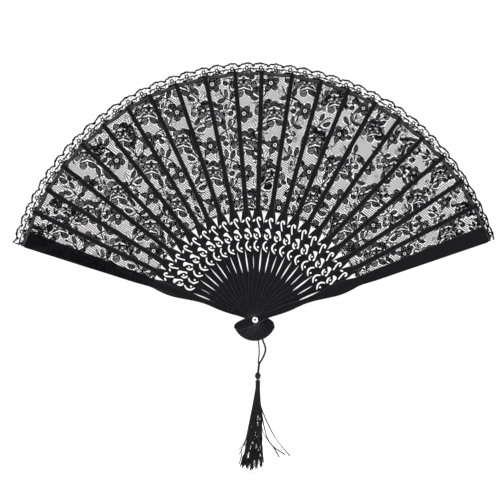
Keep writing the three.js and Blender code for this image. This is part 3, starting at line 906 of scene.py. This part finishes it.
STRAYS = (  # x, z, direction of up, size, kind: at the left, where the pattern runs out at the hem
    (-158.5, 90.5, 2.3, 0.62, 0), (-168.5, 84.0, 2.7, 0.5, 1),
    (-149.0, 85.5, 2.2, 0.5, 1), (-124.5, 134.5, 2.0, 0.5, 0),
)


def lattice(column, row):
    u, w = column / 5.0, (row - 3) / 3.0
    return np.array([1.0, u, w, u * u, u * w, w * w, u**3, u * u * w]) @ LATTICE


def pattern_cells():
    """Column, row, direction of up and size of every motif that may touch the leaf."""
    cells = []
    for column in range(-9, 10):
        for row in range(-3, 10):
            x, z = lattice(column, row)
            theta = math.atan2(z, x)
            if not (74 < math.hypot(x, z) < 208 and z > 15
                    and STICK[FRONT] - 0.12 < theta < STICK[0] + 0.12):
                continue
            right = lattice(column + 0.5, row) - lattice(column - 0.5, row)
            down = lattice(column, row + 0.5) - lattice(column, row - 0.5)
            if right[0] < 8 or down[1] > -8:
                continue
            up = math.atan2(-down[1], -down[0])
            spacing = min(np.linalg.norm(right) / COLUMN_PITCH, np.linalg.norm(down) / ROW_PITCH)
            cells.append((column, row, up, float(np.clip(spacing, 0.62, 1.0))))
    return cells


cells = pattern_cells()
for c, r, up, size in cells:
    spot = Spot(lattice(c, r) + np.array(NUDGE.get((c, r), (0, 0))), up, size)
    if (c + r) % 2 == 0:
        flower(spot, 95 if c % 2 == 0 else 57)
    else:
        bloom(spot)
for c, r, up, size in cells:
    flip = 1 if (c + r) % 2 else -1
    tilt = 0.08 * math.sin(3 * c + r)
    sprig(Spot(lattice(c + 0.5, r + 0.5), up + tilt, size * 0.93, flip), c % 2)
    tilt = 0.15 * math.sin(c - 2 * r)
    spot = Spot(lattice(c + 0.5, r), up + tilt, size * 0.85, flip)
    leaf_and_bud(spot, "grey" if (c * r) % 2 else "dark")
for x, z, up, size, kind in STRAYS:
    sprig(Spot((x, z), up, size), kind)

# ------------------------------------------------------------------ lace: net and inner edge

MESH = 1.5  # spacing of the net's threads


def stretched(points):
    """The cloth stretches a little here and there, so the mesh isn't perfectly straight."""
    x, z = points[..., 0], points[..., 1]
    return points + np.stack(
        [0.3 * np.sin(z * 0.23 + 0.4) + 0.2 * np.sin(x * 0.11 + z * 0.31),
         0.3 * np.sin(x * 0.19 + 1.1) + 0.2 * np.sin(z * 0.13 - x * 0.27)], -1)


def slant(degrees):
    """The direction at an angle in the leaf's plane, and the one square to it."""
    angle = math.radians(degrees)
    cos, sin = math.cos(angle), math.sin(angle)
    return np.array([cos, sin]), np.array([-sin, cos])


# A diamond mesh with the heavier thread on one slant, left out under the filled stitches and in
# the openings.
net = Lace()
for degrees, width in ((-36.0, 0.58), (52.0, 0.3)):
    direction, across = slant(degrees)
    lines = np.arange(-290, 290) * MESH
    along = np.arange(-420, 420) * MESH / 2
    nodes = lines[:, None, None] * across + along[None, :, None] * direction
    nodes = nodes + np.array([0.0, 110.0])
    nodes = nodes + 0.13 * np.sin(along * 2 * math.pi / MESH)[None, :, None] * across
    nodes = stretched(nodes)
    starts, ends = nodes[:, :-1].reshape(-1, 2), nodes[:, 1:].reshape(-1, 2)
    middle = (starts + ends) / 2
    kept = inside_leaf(middle) & (look(middle) == 0)
    net.segments(starts[kept], ends[kept], width, thick=0.16)

# Inner edge of the cloth: a rolled edge with tiny loops.
edge_ends = STICK[0] + END * 0.9, STICK[FRONT] - END * 0.9
theta = np.linspace(*edge_ends, 900)
add_cord(polar(theta, LEAF_IN + 0.55 + 0.12 * np.sin(theta * 240)), 0.55)
add_cord(polar(theta, LEAF_IN + 1.3 + 0.25 * np.sin(theta * 380)), 0.3)
theta = np.linspace(*edge_ends, 2600)
loop_depth = (0.95 + 0.3 * np.sin(theta * 31)) * np.abs(np.sin(theta * 92))
cords.line(polar(theta, LEAF_IN + 0.3 - loop_depth), 0.5)

# ------------------------------------------------------------------ scalloped edging

SCALLOPS = 43
SCALLOP = (LEFT_END - RIGHT_END) / SCALLOPS  # angle of one
# Within a scallop a place is a fraction of its width and a height in eighths of its depth.
THICKENINGS = (  # places, heights, width: knot between scallops, top, left shoulder
    ([-0.09, 0.0, 0.09], [5.6, 4.8, 5.6], 1.6),
    ([0.4, 0.5, 0.6], [7.3, 7.5, 7.3], 1.35),
    ([0.2, 0.27, 0.34], [6.3, 6.7, 7.0], 1.25),
)
STRUTS = (  # start place, start height, end place, end height, width
    (0.36, 0.0, 0.43, 2.5, 0.8), (0.5, 0.0, 0.5, 2.4, 0.9), (0.66, 0.0, 0.58, 2.5, 0.8),
    (0.2, 2.6, 0.4, 3.1, 0.75), (0.8, 2.6, 0.6, 3.1, 0.75), (0.56, 4.7, 0.66, 7.0, 0.42),
    (0.44, 4.7, 0.36, 7.0, 0.36), (0.3, 0.1, 0.24, 2.3, 0.7), (0.72, 0.1, 0.76, 2.3, 0.8),
    (0.9, 0.2, 1.02, 2.4, 0.6), (0.7, 4.2, 0.84, 5.6, 0.36),
)

trim = Lace()
trim_random = np.random.default_rng(7)


def scallop(start, kind):
    """One scallop from an angle downwards: a cord over the top, knotted where it meets the
    next; inside it a ringed eyelet on struts, and a short bar across its left end."""
    phase = kind * 1.7
    vary = trim_random.uniform(-1, 1, 12)
    high = 1 - 0.16 * abs(vary[3] + vary[9]) / 2
    sway = 0.1 * vary[5]
    if 0.7 < start < 1.15:
        sway = 0.13 if kind % 2 else -0.13

    def at(place, height):
        place = np.asarray(place, float)
        bowed = place + sway * np.sin(math.pi * np.clip(place, 0, 1))
        theta = eased(start - bowed * SCALLOP)
        base = TAPE_OUT + hem_shift(theta)
        return polar(theta, base + np.asarray(height, float) * (edge_reach(theta) - base) / 8.0)

    place = np.linspace(0, 1, 31)
    arch = np.abs(np.sin(math.pi * place)) ** (0.6 + 0.1 * vary[0])
    arch = arch * (1 + 0.1 * np.sin(place * 5 + 3 * vary[1]))
    ripple = 0.24 * np.sin(place * 2 * math.pi * (3.5 + vary[2]) + phase)
    trim.line(at(place, 4.9 + 2.5 * high * arch + ripple), 1.12)
    for places, heights, width in THICKENINGS:
        trim.line(at(places, heights), width)
    bar = np.linspace(-0.2 + 0.05 * vary[6], 0.2 + 0.06 * vary[7], 7)
    ripple = 0.3 * np.sin(bar * 14 + phase + vary[8])
    trim.line(at(bar, 2.7 + ripple + 1.2 * bar * vary[9]), 1.25)
    eyelet = at([0.5 + 0.05 * vary[3]], [3.5 + 0.3 * vary[4]])[0]
    ring = oval(eyelet, 1.28 + 0.15 * vary[5], 1.12 - 0.12 * vary[5], phase, 14)
    trim.line(ring, 0.92, closed=True)
    for k in range(3):
        angle = phase + 2 * math.pi * k / 3
        bead = eyelet + 1.12 * np.array([math.cos(angle), math.sin(angle)])
        trim.line(oval(bead, 0.3, 0.3, count=6), 0.6, closed=True)
    for place0, height0, place1, height1, width in STRUTS:
        places = [place0 + 0.05 * vary[10], place1 + 0.04 * vary[11]]
        trim.line(at(places, [height0, height1]), width)
    small = at([0.68 + 0.06 * vary[2]], [1.7])[0]
    trim.line(oval(small, 0.4, 0.4, count=8), 0.75, closed=True)
    foot = np.linspace(0.13, 0.87, 11)
    trim.line(at(foot, 0.45 + 0.2 * np.sin(foot * 20 + phase)), 1.1)


def cut_to_ends(lace):
    """Drops what runs past the ends of the cloth."""
    kept = []
    for run in lace.runs:
        thetas = [np.arctan2(points[:, 1], points[:, 0]) for points in run[:2]]
        inside = (np.minimum(*thetas) > RIGHT_END) & (np.maximum(*thetas) < LEFT_END)
        if inside.any():
            kept.append(tuple(values[inside] for values in run))
    lace.runs = kept


for k in range(-1, SCALLOPS):
    scallop(LEFT_END - k * SCALLOP, k % 5)
cut_to_ends(trim)

# ------------------------------------------------------------------ filled stitches


def cut(polygon, normal):
    """The part of a polygon on the normal's side of a line through the rivet."""
    heights = polygon @ normal
    kept = []
    for i in range(len(polygon)):
        j = (i + 1) % len(polygon)
        if heights[i] >= 0:
            kept.append(polygon[i])
        if (heights[i] >= 0) != (heights[j] >= 0):
            t = heights[i] / (heights[i] - heights[j])
            kept.append(polygon[i] + t * (polygon[j] - polygon[i]))
    return np.array(kept) if len(kept) > 2 else None


def patches_by_panel(rings):
    """The filled stitches clipped to the leaf and to each panel."""
    shares = {p: [] for p in PANELS}
    outer = TAPE_IN + 0.3
    for ring in rings:
        if not inside_leaf(ring, outer).any():
            continue
        theta = np.clip(np.arctan2(ring[:, 1], ring[:, 0]), RIGHT_END, LEFT_END)
        radius = np.hypot(ring[:, 0], ring[:, 1])
        ring = polar(theta, np.clip(radius, LEAF_IN + 0.3, outer + hem_shift(theta)))
        panels = leaf_y(ring[:, 0], ring[:, 1])[1]
        first, last = panels.min(), panels.max()
        for p in range(first, last + 1):
            polygon = ring
            if p > first:
                left = STICK[p - 1]
                polygon = cut(polygon, np.array([math.sin(left), -math.cos(left)]))
            if polygon is not None and p < last:
                right = STICK[p]
                polygon = cut(polygon, np.array([-math.sin(right), math.cos(right)]))
            if polygon is not None:
                x, z = polygon.T
                if 0.5 * abs(np.dot(x, np.roll(z, 1)) - np.dot(z, np.roll(x, 1))) > 0.25:
                    shares[p].append(polygon)
    return shares


def hatch(outline, pitch, degrees, pierced):
    """Parallel threads across a closed outline, as pairs of ends; a pierced one keeps its
    openings clear."""
    direction, across = slant(degrees)
    u, v = outline @ direction, outline @ across
    next_u, next_v = np.roll(u, -1), np.roll(v, -1)
    pairs = []
    for level in np.arange(math.ceil(v.min() / pitch) * pitch, v.max(), pitch):
        hit = (v < level) != (next_v < level)
        if hit.sum() < 2:
            continue
        slope = (next_u[hit] - u[hit])
        crossings = np.sort(u[hit] + (level - v[hit]) / (next_v[hit] - v[hit]) * slope)
        for i in range(0, len(crossings) - 1, 2):
            start, end = crossings[i], crossings[i + 1]
            if end - start < 0.3:
                continue
            count = max(2, int((end - start) / 0.4) + 1) if pierced else 2
            points = np.outer(np.linspace(start, end, count), direction) + level * across
            starts, ends = points[:-1], points[1:]
            if pierced:
                kept = (look((starts + ends) / 2) & OPEN) == 0
                starts, ends = starts[kept], ends[kept]
            pairs.extend(zip(starts, ends))
    return pairs


FILLS = [  # outlines by panel, thread pitch, thread width, whether pierced
    (patches_by_panel(patches["dark"]), 0.455, 0.346, False),
    (patches_by_panel(patches["grey"]), 0.515, 0.315, False),
    (patches_by_panel(patches["core"]), 0.49, 0.328, True),
]


def stitches(p):
    """The filled parts of the pattern: close threads crossing on the slant."""
    lace = Lace()
    for shares, pitch, width, pierced in FILLS:
        for degrees, thick in ((38.0, 0.12), (-47.0, 0.2)):
            pairs = []
            for outline in shares[p]:
                pairs += hatch(outline, pitch, degrees, pierced)
            if pairs:
                pairs = np.array(pairs)
                lace.segments(pairs[:, 0], pairs[:, 1], width, thick)
    return lace.arrays()


# ------------------------------------------------------------------ panels

# Section of the hem tape
TAPE_RADII = np.array(
    [TAPE_IN, TAPE_IN + 0.12, TAPE_OUT - 0.12, TAPE_OUT, TAPE_OUT - 0.12, TAPE_IN + 0.12])
TAPE_DEPTHS = np.array([0, -0.14, -0.14, 0, 0.14, 0.14])
TAPE_STATIONS = 25
SEAM_STITCHES = 22
SEAMS = ((0.0, 0.97, 0.6), (1.2, 0.6, 0.3), (2.4, 0.97, 0.6))  # offset, share of pitch, width


def drape(cloth_piece):
    """Bakes the piece's transform into its mesh."""
    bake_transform(cloth_piece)


def hem(p):
    """Hem tape, a flat band with rows of stitches on its front and back."""
    left = LEFT_END if p == 1 else STICK[p - 1]
    right = RIGHT_END if p == FRONT else STICK[p]

    def sag(theta):
        turn = (theta - left) / (right - left) * 2 * math.pi
        return 0.35 * np.cos(turn) - 0.2 + hem_shift(theta)

    theta = np.linspace(left, right, TAPE_STATIONS)[:, None]
    radii = TAPE_RADII + sag(theta)
    x, z = radii * np.cos(theta), radii * np.sin(theta)
    points = np.stack([x, leaf_y(x, z)[0] + STACK_Y + TAPE_DEPTHS, z], -1)
    last = (TAPE_STATIONS - 1) * len(TAPE_RADII)
    caps = [[3, 2, 1, 0], [5, 4, 3, 0],
            [last, last + 1, last + 2, last + 3], [last, last + 3, last + 4, last + 5]]
    quads = np.vstack([skin(TAPE_STATIONS, len(TAPE_RADII)), caps])
    drape(add_mesh(f"hem_tape_{p:02d}", points, [quads], TAPE_CLOTH))

    seam = Lace()
    for offset, share, width in SEAMS:
        start = np.linspace(0, 1, SEAM_STITCHES, endpoint=False) + 0.006
        ends = []
        for place in (start, start + share / SEAM_STITCHES):
            theta = left + place * (right - left)
            ends.append(polar(theta, TAPE_IN + offset + sag(theta)))
        seam.segments(*ends, width, thick=0.16)
    arrays = seam.arrays()
    for face, lift in (("front", -0.15), ("back", 0.15)):
        arrays[6] = np.full(len(arrays[0]), lift)
        drape(thread_mesh(f"hem_seam_{p:02d}_{face}", arrays, CORD_THREAD))


net_shares, cord_shares, trim_shares = net.by_panel(), cords.by_panel(), trim.by_panel()
for p in PANELS:
    net_piece = thread_mesh(f"net_{p:02d}", net_shares[p], NET_THREAD)
    drape(net_piece)
    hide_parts(f"leaf_panel_{p:02d}")
    drape(thread_mesh(f"cords_{p:02d}", cord_shares[p], CORD_THREAD))
    drape(thread_mesh(f"edging_{p:02d}", trim_shares[p], CORD_THREAD))
    drape(thread_mesh(f"stitches_{p:02d}", stitches(p), FILL_THREAD))
    hem(p)

# ------------------------------------------------------------------ rivet and washer

SEAT = STACK_Y - 13.5  # rear of the rivet's head
WASHER = STACK_Y + 14.75  # front of the washer


def metal_part(name, profile, segments, material, replaced=None):
    """A part turned about the rivet's axis from [radius, y]."""
    bag = Bag()
    lathe(bag, profile, (0, 0, 0), "y", segments)
    attach(bag.build(name, material), "rear_guard", replaced)


metal_part("vis_rivet", [
    [0.0, SEAT - 0.42], [0.35, SEAT - 0.43], [0.5, SEAT - 0.52], [0.58, SEAT - 0.72],
    [0.68, SEAT - 0.86], [0.85, SEAT - 0.92], [1.15, SEAT - 0.93], [1.5, SEAT - 0.86],
    [1.85, SEAT - 0.72], [2.15, SEAT - 0.52], [2.36, SEAT - 0.3], [2.46, SEAT - 0.12],
    [2.48, SEAT], [1.5, SEAT], [1.5, STACK_Y + 15.4],
    [1.45, STACK_Y + 15.75], [1.2, STACK_Y + 15.92], [0.0, STACK_Y + 15.95],
], 64, STEEL, "rivet")
# A dark plug filling the rivet's dimple: painted shade for the dark hole at its centre.
metal_part("vis_rivet_dimple", [
    [0.0, SEAT - 0.76], [0.5, SEAT - 0.78], [0.75, SEAT - 0.88], [0.92, SEAT - 0.955],
    [0.85, SEAT - 0.6], [0.0, SEAT - 0.44],
], 32, CORD_THREAD)
metal_part("vis_washer", [
    [1.55, WASHER], [2.8, WASHER], [2.9, WASHER + 0.12], [2.9, WASHER + 0.5],
    [2.75, WASHER + 0.66], [2.5, WASHER + 0.7], [1.7, WASHER + 0.7], [1.55, WASHER + 0.6],
    [1.55, WASHER],
], 64, STEEL, "rear_washer")

# ------------------------------------------------------------------ cord, knot and tassel

CORD_Y = STACK_Y + 14.05
TASSEL_X = 2.3
LOOP_TOP = 2.2  # radius of the loop where it passes over the rivet


def distances(path):
    """Length along a line up to each point."""
    return np.concatenate([[0], np.cumsum(np.linalg.norm(np.diff(path, axis=0), axis=1))])


def smooth_cord(points, per_point, step):
    """A smooth line in the cord's plane through [x, z] points, in even steps."""
    x, z = np.array(points).T
    path = catmull(np.column_stack([x, np.full(len(x), CORD_Y), z]), per_point)
    along = distances(path)
    even = np.linspace(0, along[-1], max(4, int(along[-1] / step)))
    return np.column_stack([np.interp(even, along, path[:, i]) for i in range(3)])


def plied(bag, path, radius, plies, pitch, strand, sides, depth=1.0):
    """Strands twisted round a line; depth flattens the twist in Y."""
    along = distances(path)
    tangent = unit(np.gradient(path, axis=0))
    back = np.array([0.0, 1.0, 0.0])
    across = unit(back - tangent * (tangent @ back)[:, None])
    side = np.cross(tangent, across)
    radius = np.broadcast_to(radius, len(path))[:, None]
    for k in range(plies):
        angle = (2 * math.pi * (along / pitch + k / plies))[:, None]
        offset = radius * (depth * np.cos(angle) * across + np.sin(angle) * side)
        tube(bag, path + offset, strand, sides)


def cord_loop():
    path = smooth_cord([
        [2.6, -34.9], [3.4, -26.0], [2.4, -17.0], [-0.6, -8.0], [-2.0, -2.0],
        [-LOOP_TOP * 0.94, LOOP_TOP * 0.35], [0, LOOP_TOP], [LOOP_TOP * 0.94, LOOP_TOP * 0.35],
        [2.6, -4.0], [4.6, -11.4], [6.0, -16.6], [8.4, -24.0], [7.2, -29.4], [4.3, -34.9],
    ], per_point=12, step=0.3)
    # the worn side is thinner
    full = np.interp(
        np.linspace(0, 1, len(path)), [0, 0.42, 0.58, 0.66, 1], [0.0, 0.0, 0.3, 1.0, 1.0])
    bag = Bag()
    plied(bag, path, 0.23 + 0.14 * full, plies=2, pitch=2.2, strand=0.36 + 0.12 * full,
          sides=6, depth=0.4)
    return bag


def twisted_cord():
    path = smooth_cord(
        [[3.4, -34.4], [3.3, -36.3], [2.9, -39.6], [2.4, -43.9]], per_point=10, step=0.25)
    bag = Bag()
    plied(bag, path, 0.46, plies=3, pitch=3.4, strand=0.49, sides=8)
    angles = around(20)
    for k in range(4):  # whipping where the two strands meet
        ring = np.column_stack([
            3.38 + 0.98 * np.cos(angles), CORD_Y + 0.85 * np.sin(angles),
            -34.6 - k * 0.42 + 0.07 * np.sin(angles)])
        tube(bag, ring, 0.22, closed=True)
    return bag


def knot():
    """Cord wound over itself in three directions round a firm core."""
    bag = Bag()
    centre = np.array([TASSEL_X, CORD_Y, -45.8])
    lathe(bag, [[0, -3.2], [0.6, -3.05], [1.05, -2.8], [1.4, -2.3], [1.75, -1.3], [1.8, -1.0],
                [1.85, 0], [1.75, 1.0], [1.2, 1.9], [0, 2.2]], centre, "z", 24)
    for tilt, spin, turns in ((0.5, 0.0, 5), (-0.5, 1.2, 5), (1.35, 2.2, 4)):
        for k in range(turns):
            height = (k - (turns - 1) / 2) * 0.62
            radius = math.sqrt(max(0.4, 2.02**2 - height**2))
            ring = np.column_stack([polar(around(26), radius), np.full(26, height)])
            rotation = Matrix.Rotation(spin, 3, "Z") @ Matrix.Rotation(tilt, 3, "X")
            ring = ring @ np.array(rotation).T
            ring[:, 2] *= 1.26
            tube(bag, ring + centre, 0.33, closed=True)
    return bag


def binding():
    """Thread wound round the neck."""
    bag = Bag()
    profile = [[0, -54.5], [1.6, -54.4], [1.6, -49.9], [1.2, -49.5], [0.6, -49.16], [0, -49.07]]
    lathe(bag, profile, (TASSEL_X, CORD_Y, 0), "z", 24)
    turn = np.linspace(0, 2 * math.pi * 12.5, 12 * 22)
    tube(bag, np.column_stack([TASSEL_X + 1.66 * np.cos(turn), CORD_Y + 1.66 * np.sin(turn),
                               -49.22 - 4.93 * turn / turn[-1]]), 0.235)
    return bag


STRANDS = 640
STRAND_POINTS = 30
SKIRT_TOP, SKIRT_FOOT = -54.0, -119.0
LEAN = -5.4  # shift of the skirt's foot along X
PARTINGS = [  # x and z at the top of a parting, x and z at its foot, half its width
    (2.7, -76.6, 2.6, -86.5, 0.85), (0.7, -78.0, 0.7, -83.0, 0.45),
    (4.35, -72.5, 4.7, -86.5, 0.6), (4.6, -88.0, 4.8, -99.5, 0.65),
    (4.4, -100.5, 4.2, -111.0, 0.75), (0.2, -88.5, -0.1, -98.6, 0.9),
    (-1.5, -96.5, -1.3, -107.5, 1.0), (1.5, -91.0, 1.7, -98.4, 0.6),
    (1.1, -100.0, 0.9, -109.0, 0.75), (2.9, -103.5, 2.7, -110.0, 0.6),
    (-4.9, -106.5, -5.6, -112.4, 0.8), (-8.6, -101.0, -9.8, -109.5, 0.85),
    (-7.1, -97.0, -7.9, -103.0, 0.45), (-3.4, -100.5, -3.7, -106.0, 0.45),
    (-0.4, -112.6, -0.6, -121.0, 0.8), (-8.2, -113.0, -8.5, -121.0, 0.7),
    (3.0, -112.0, 3.3, -121.0, 0.7), (-4.4, -114.5, -4.6, -121.0, 0.6),
    (-2.4, -86.0, -2.8, -91.0, 0.35),
]
STRAY_HAIRS = [  # [x, z] points, radius
    ([(3.0, -57), (3.9, -64), (5.4, -72.1), (10.7, -84.8), (17.8, -97.5), (28.0, -109.8)], 0.33),
    ([(2.9, -58), (4.2, -68), (5.1, -77.7), (6.1, -89.7), (10.7, -97.5), (15.0, -103.1),
      (19.5, -110.9)], 0.32),
    ([(3.0, -59), (4.6, -70), (7.0, -84.8), (10.0, -95.4), (15.0, -102.4), (24.1, -108.8)], 0.3),
    ([(3.2, -60), (4.4, -73), (4.9, -88), (5.3, -100), (6.9, -115.1)], 0.25),
    ([(3.1, -60), (4.2, -74), (4.6, -90), (5.0, -104), (5.9, -118.0)], 0.25),
    ([(3.2, -60), (4.3, -72), (4.8, -82), (4.6, -95), (5.1, -109), (4.6, -117.0)], 0.2),
    ([(-1.5, -72), (-6.3, -93), (-9.6, -100.5), (-12.5, -104.6)], 0.27),
    ([(-1.5, -72), (-7.6, -97), (-10.9, -105.0), (-12.9, -109.5)], 0.27),
]
hair_random = np.random.default_rng(20)


def part_hair(path):
    """Pushes a strand aside from the partings."""
    for x0, z0, x1, z1, wide in PARTINGS:
        if hair_random.random() < 0.012:
            continue  # a strand that strays across
        wide *= 1.28
        t = (path[:, 2] - z0) / (z1 - z0)
        gap = wide * np.sqrt(np.clip(1 - (2 * t - 1) ** 2, 0, 1))
        middle = x0 + (x1 - x0) * t
        away = path[:, 0] - middle
        near = (np.abs(away) < 3 * wide) & (gap > 0)
        pushed = gap + np.abs(away) * (3 * wide - gap) / (3 * wide)
        path[:, 0] = np.where(near, middle + np.where(away < 0, -1, 1) * pushed, path[:, 0])
    return path


def skirt_strand(k):
    """The line of one strand, from the neck to the foot."""
    reach = math.sqrt((k + 0.5) / STRANDS)  # 0 in the middle of the skirt, 1 outside
    angle = k * 2.399963 + hair_random.uniform(-0.2, 0.2)
    x, y = reach * math.cos(angle), reach * math.sin(angle)
    top = np.array([TASSEL_X + 1.6 * x, CORD_Y + 1.6 * y, SKIRT_TOP])
    spread = 1.0 + 0.05 * hair_random.standard_normal()
    foot = np.array([TASSEL_X + LEAN, CORD_Y, SKIRT_FOOT]) + np.array([
        9.1 * x * spread + hair_random.normal(0, 0.35),
        7.2 * y * spread + hair_random.normal(0, 0.5),
        hair_random.normal(0, 0.55) + 3.6 * x * x])
    foot[2] += 0.9 * math.sin(2.3 * foot[0] + 0.6) + 0.7 * math.sin(5.1 * foot[0] + 1.0)
    t = np.linspace(0, 1, STRAND_POINTS)
    opened = 0.55 * t + 0.45 * t**1.8  # how far it has spread
    path = top + np.outer(opened, foot - top)
    path[:, 2] = top[2] + (foot[2] - top[2]) * t
    bulge = 0.4 * np.sin(math.pi * np.clip(t * 1.6, 0, 1)) * reach
    waves = hair_random.uniform(0.8, 2.2)
    phase_x, phase_y = hair_random.uniform(0, 6.28), hair_random.uniform(0, 6.28)
    swing = 0.3 * t * hair_random.uniform(0.4, 1.3)
    path[:, 0] += bulge * math.cos(angle)
    path[:, 1] += bulge * math.sin(angle)
    path[:, 0] += swing * np.sin(waves * 6.28 * t + phase_x)
    path[:, 1] += swing * np.sin(waves * 5.1 * t + phase_y)
    return part_hair(path)


def skirt():
    """Loose strands leaning a little to the left, that part into locks lower down."""
    bag = Bag()
    for k in range(STRANDS):
        tube(bag, skirt_strand(k), np.linspace(0.2, 0.17, STRAND_POINTS), 4)
    for points, radius in STRAY_HAIRS:
        x, z = catmull(points, 7).T
        drift = hair_random.uniform(-1.5, 1.5)
        t = np.linspace(0, 1, len(x))
        sway = np.sin(5 * t + drift)
        y = CORD_Y + drift * t + 0.4 * t * np.sin(9 * t + drift)
        for way in (-1, 1):  # two hairs that cling together
            path = np.column_stack([x + way * 0.2 * sway, y, z + way * 0.14 * sway])
            tube(bag, path, radius * 0.92, 5)
    return bag


for name, make, body, replaced in (
    ("vis_cord_loop", cord_loop, "cord", "cord_loop"),
    ("vis_twisted_cord", twisted_cord, "cord", "twisted_cord"),
    ("vis_knot", knot, "knot", "tassel_knot"),
    ("vis_binding", binding, "tassel", "tassel_binding"),
    ("vis_skirt", skirt, "tassel", "tassel_skirt"),
):
    attach(make().build(name, SILK), body, replaced)

# ------------------------------------------------------------------ floor, light, camera (metres)

FLOOR_Z = -0.1235
FLOOR_RADIUS = 0.9
FLOOR_SIDES = 96
AIM = (0, 0, 0.05)  # where the lights point
CAMERA_DISTANCE = 1.4
VIEW_WIDTH = 0.395  # width seen at the middle of the stack
SENSOR = 36.0


def add_floor():
    rim = polar(around(FLOOR_SIDES), FLOOR_RADIUS / MM)
    points = np.column_stack([np.vstack([rim, [0, 0]]), np.full(FLOOR_SIDES + 1, FLOOR_Z / MM)])
    i = np.arange(FLOOR_SIDES)
    tris = np.column_stack([i, (i + 1) % FLOOR_SIDES, np.full(FLOOR_SIDES, FLOOR_SIDES)])
    add_mesh("floor", points, [tris], pale_floor("floor_pale"))


def add_world():
    """White surroundings, brighter to the camera than as light."""
    world = bpy.data.worlds.new("studio")
    bpy.context.scene.world = world
    world.use_nodes = True
    tree = world.node_tree
    background = tree.nodes["Background"]
    background.inputs["Color"].default_value = (1, 1, 1, 1)
    light_path = tree.nodes.new("ShaderNodeLightPath")
    strength = tree.nodes.new("ShaderNodeMapRange")
    tree.links.new(light_path.outputs["Is Camera Ray"], strength.inputs["Value"])
    strength.inputs["To Min"].default_value = 0.62
    strength.inputs["To Max"].default_value = 1.05
    tree.links.new(strength.outputs[0], background.inputs["Strength"])


def area(name, location, size, power):
    """A round light aimed at the fan."""
    light = bpy.data.lights.new(name, "AREA")
    light.shape = "DISK"
    light.size = size
    light.energy = power
    lamp = link(name, light)
    lamp.location = location
    aim = Vector(AIM) - Vector(location)
    lamp.rotation_euler = aim.to_track_quat("-Z", "Y").to_euler()


def add_camera():
    """Looks level along +Y."""
    lens = bpy.data.cameras.new("camera")
    camera = link("camera", lens)
    camera.location = (-0.00395, STACK_Y * MM - CAMERA_DISTANCE, 0.0546)
    camera.rotation_euler = (math.pi / 2, 0, 0)
    lens.sensor_width = SENSOR
    lens.lens = SENSOR * CAMERA_DISTANCE / VIEW_WIDTH
    lens.clip_start = 0.01
    bpy.context.scene.camera = camera


add_floor()
add_world()
area("key", location=(-0.7, -1.2, 1.1), size=0.6, power=9.0)
area("fill", location=(0.9, -1.1, 0.5), size=0.9, power=5.0)
area("back", location=(0.2, 1.3, 0.9), size=0.8, power=7.0)
add_camera()
bpy.context.scene.view_settings.view_transform = "Standard"
bpy.context.scene.view_settings.look = "None"
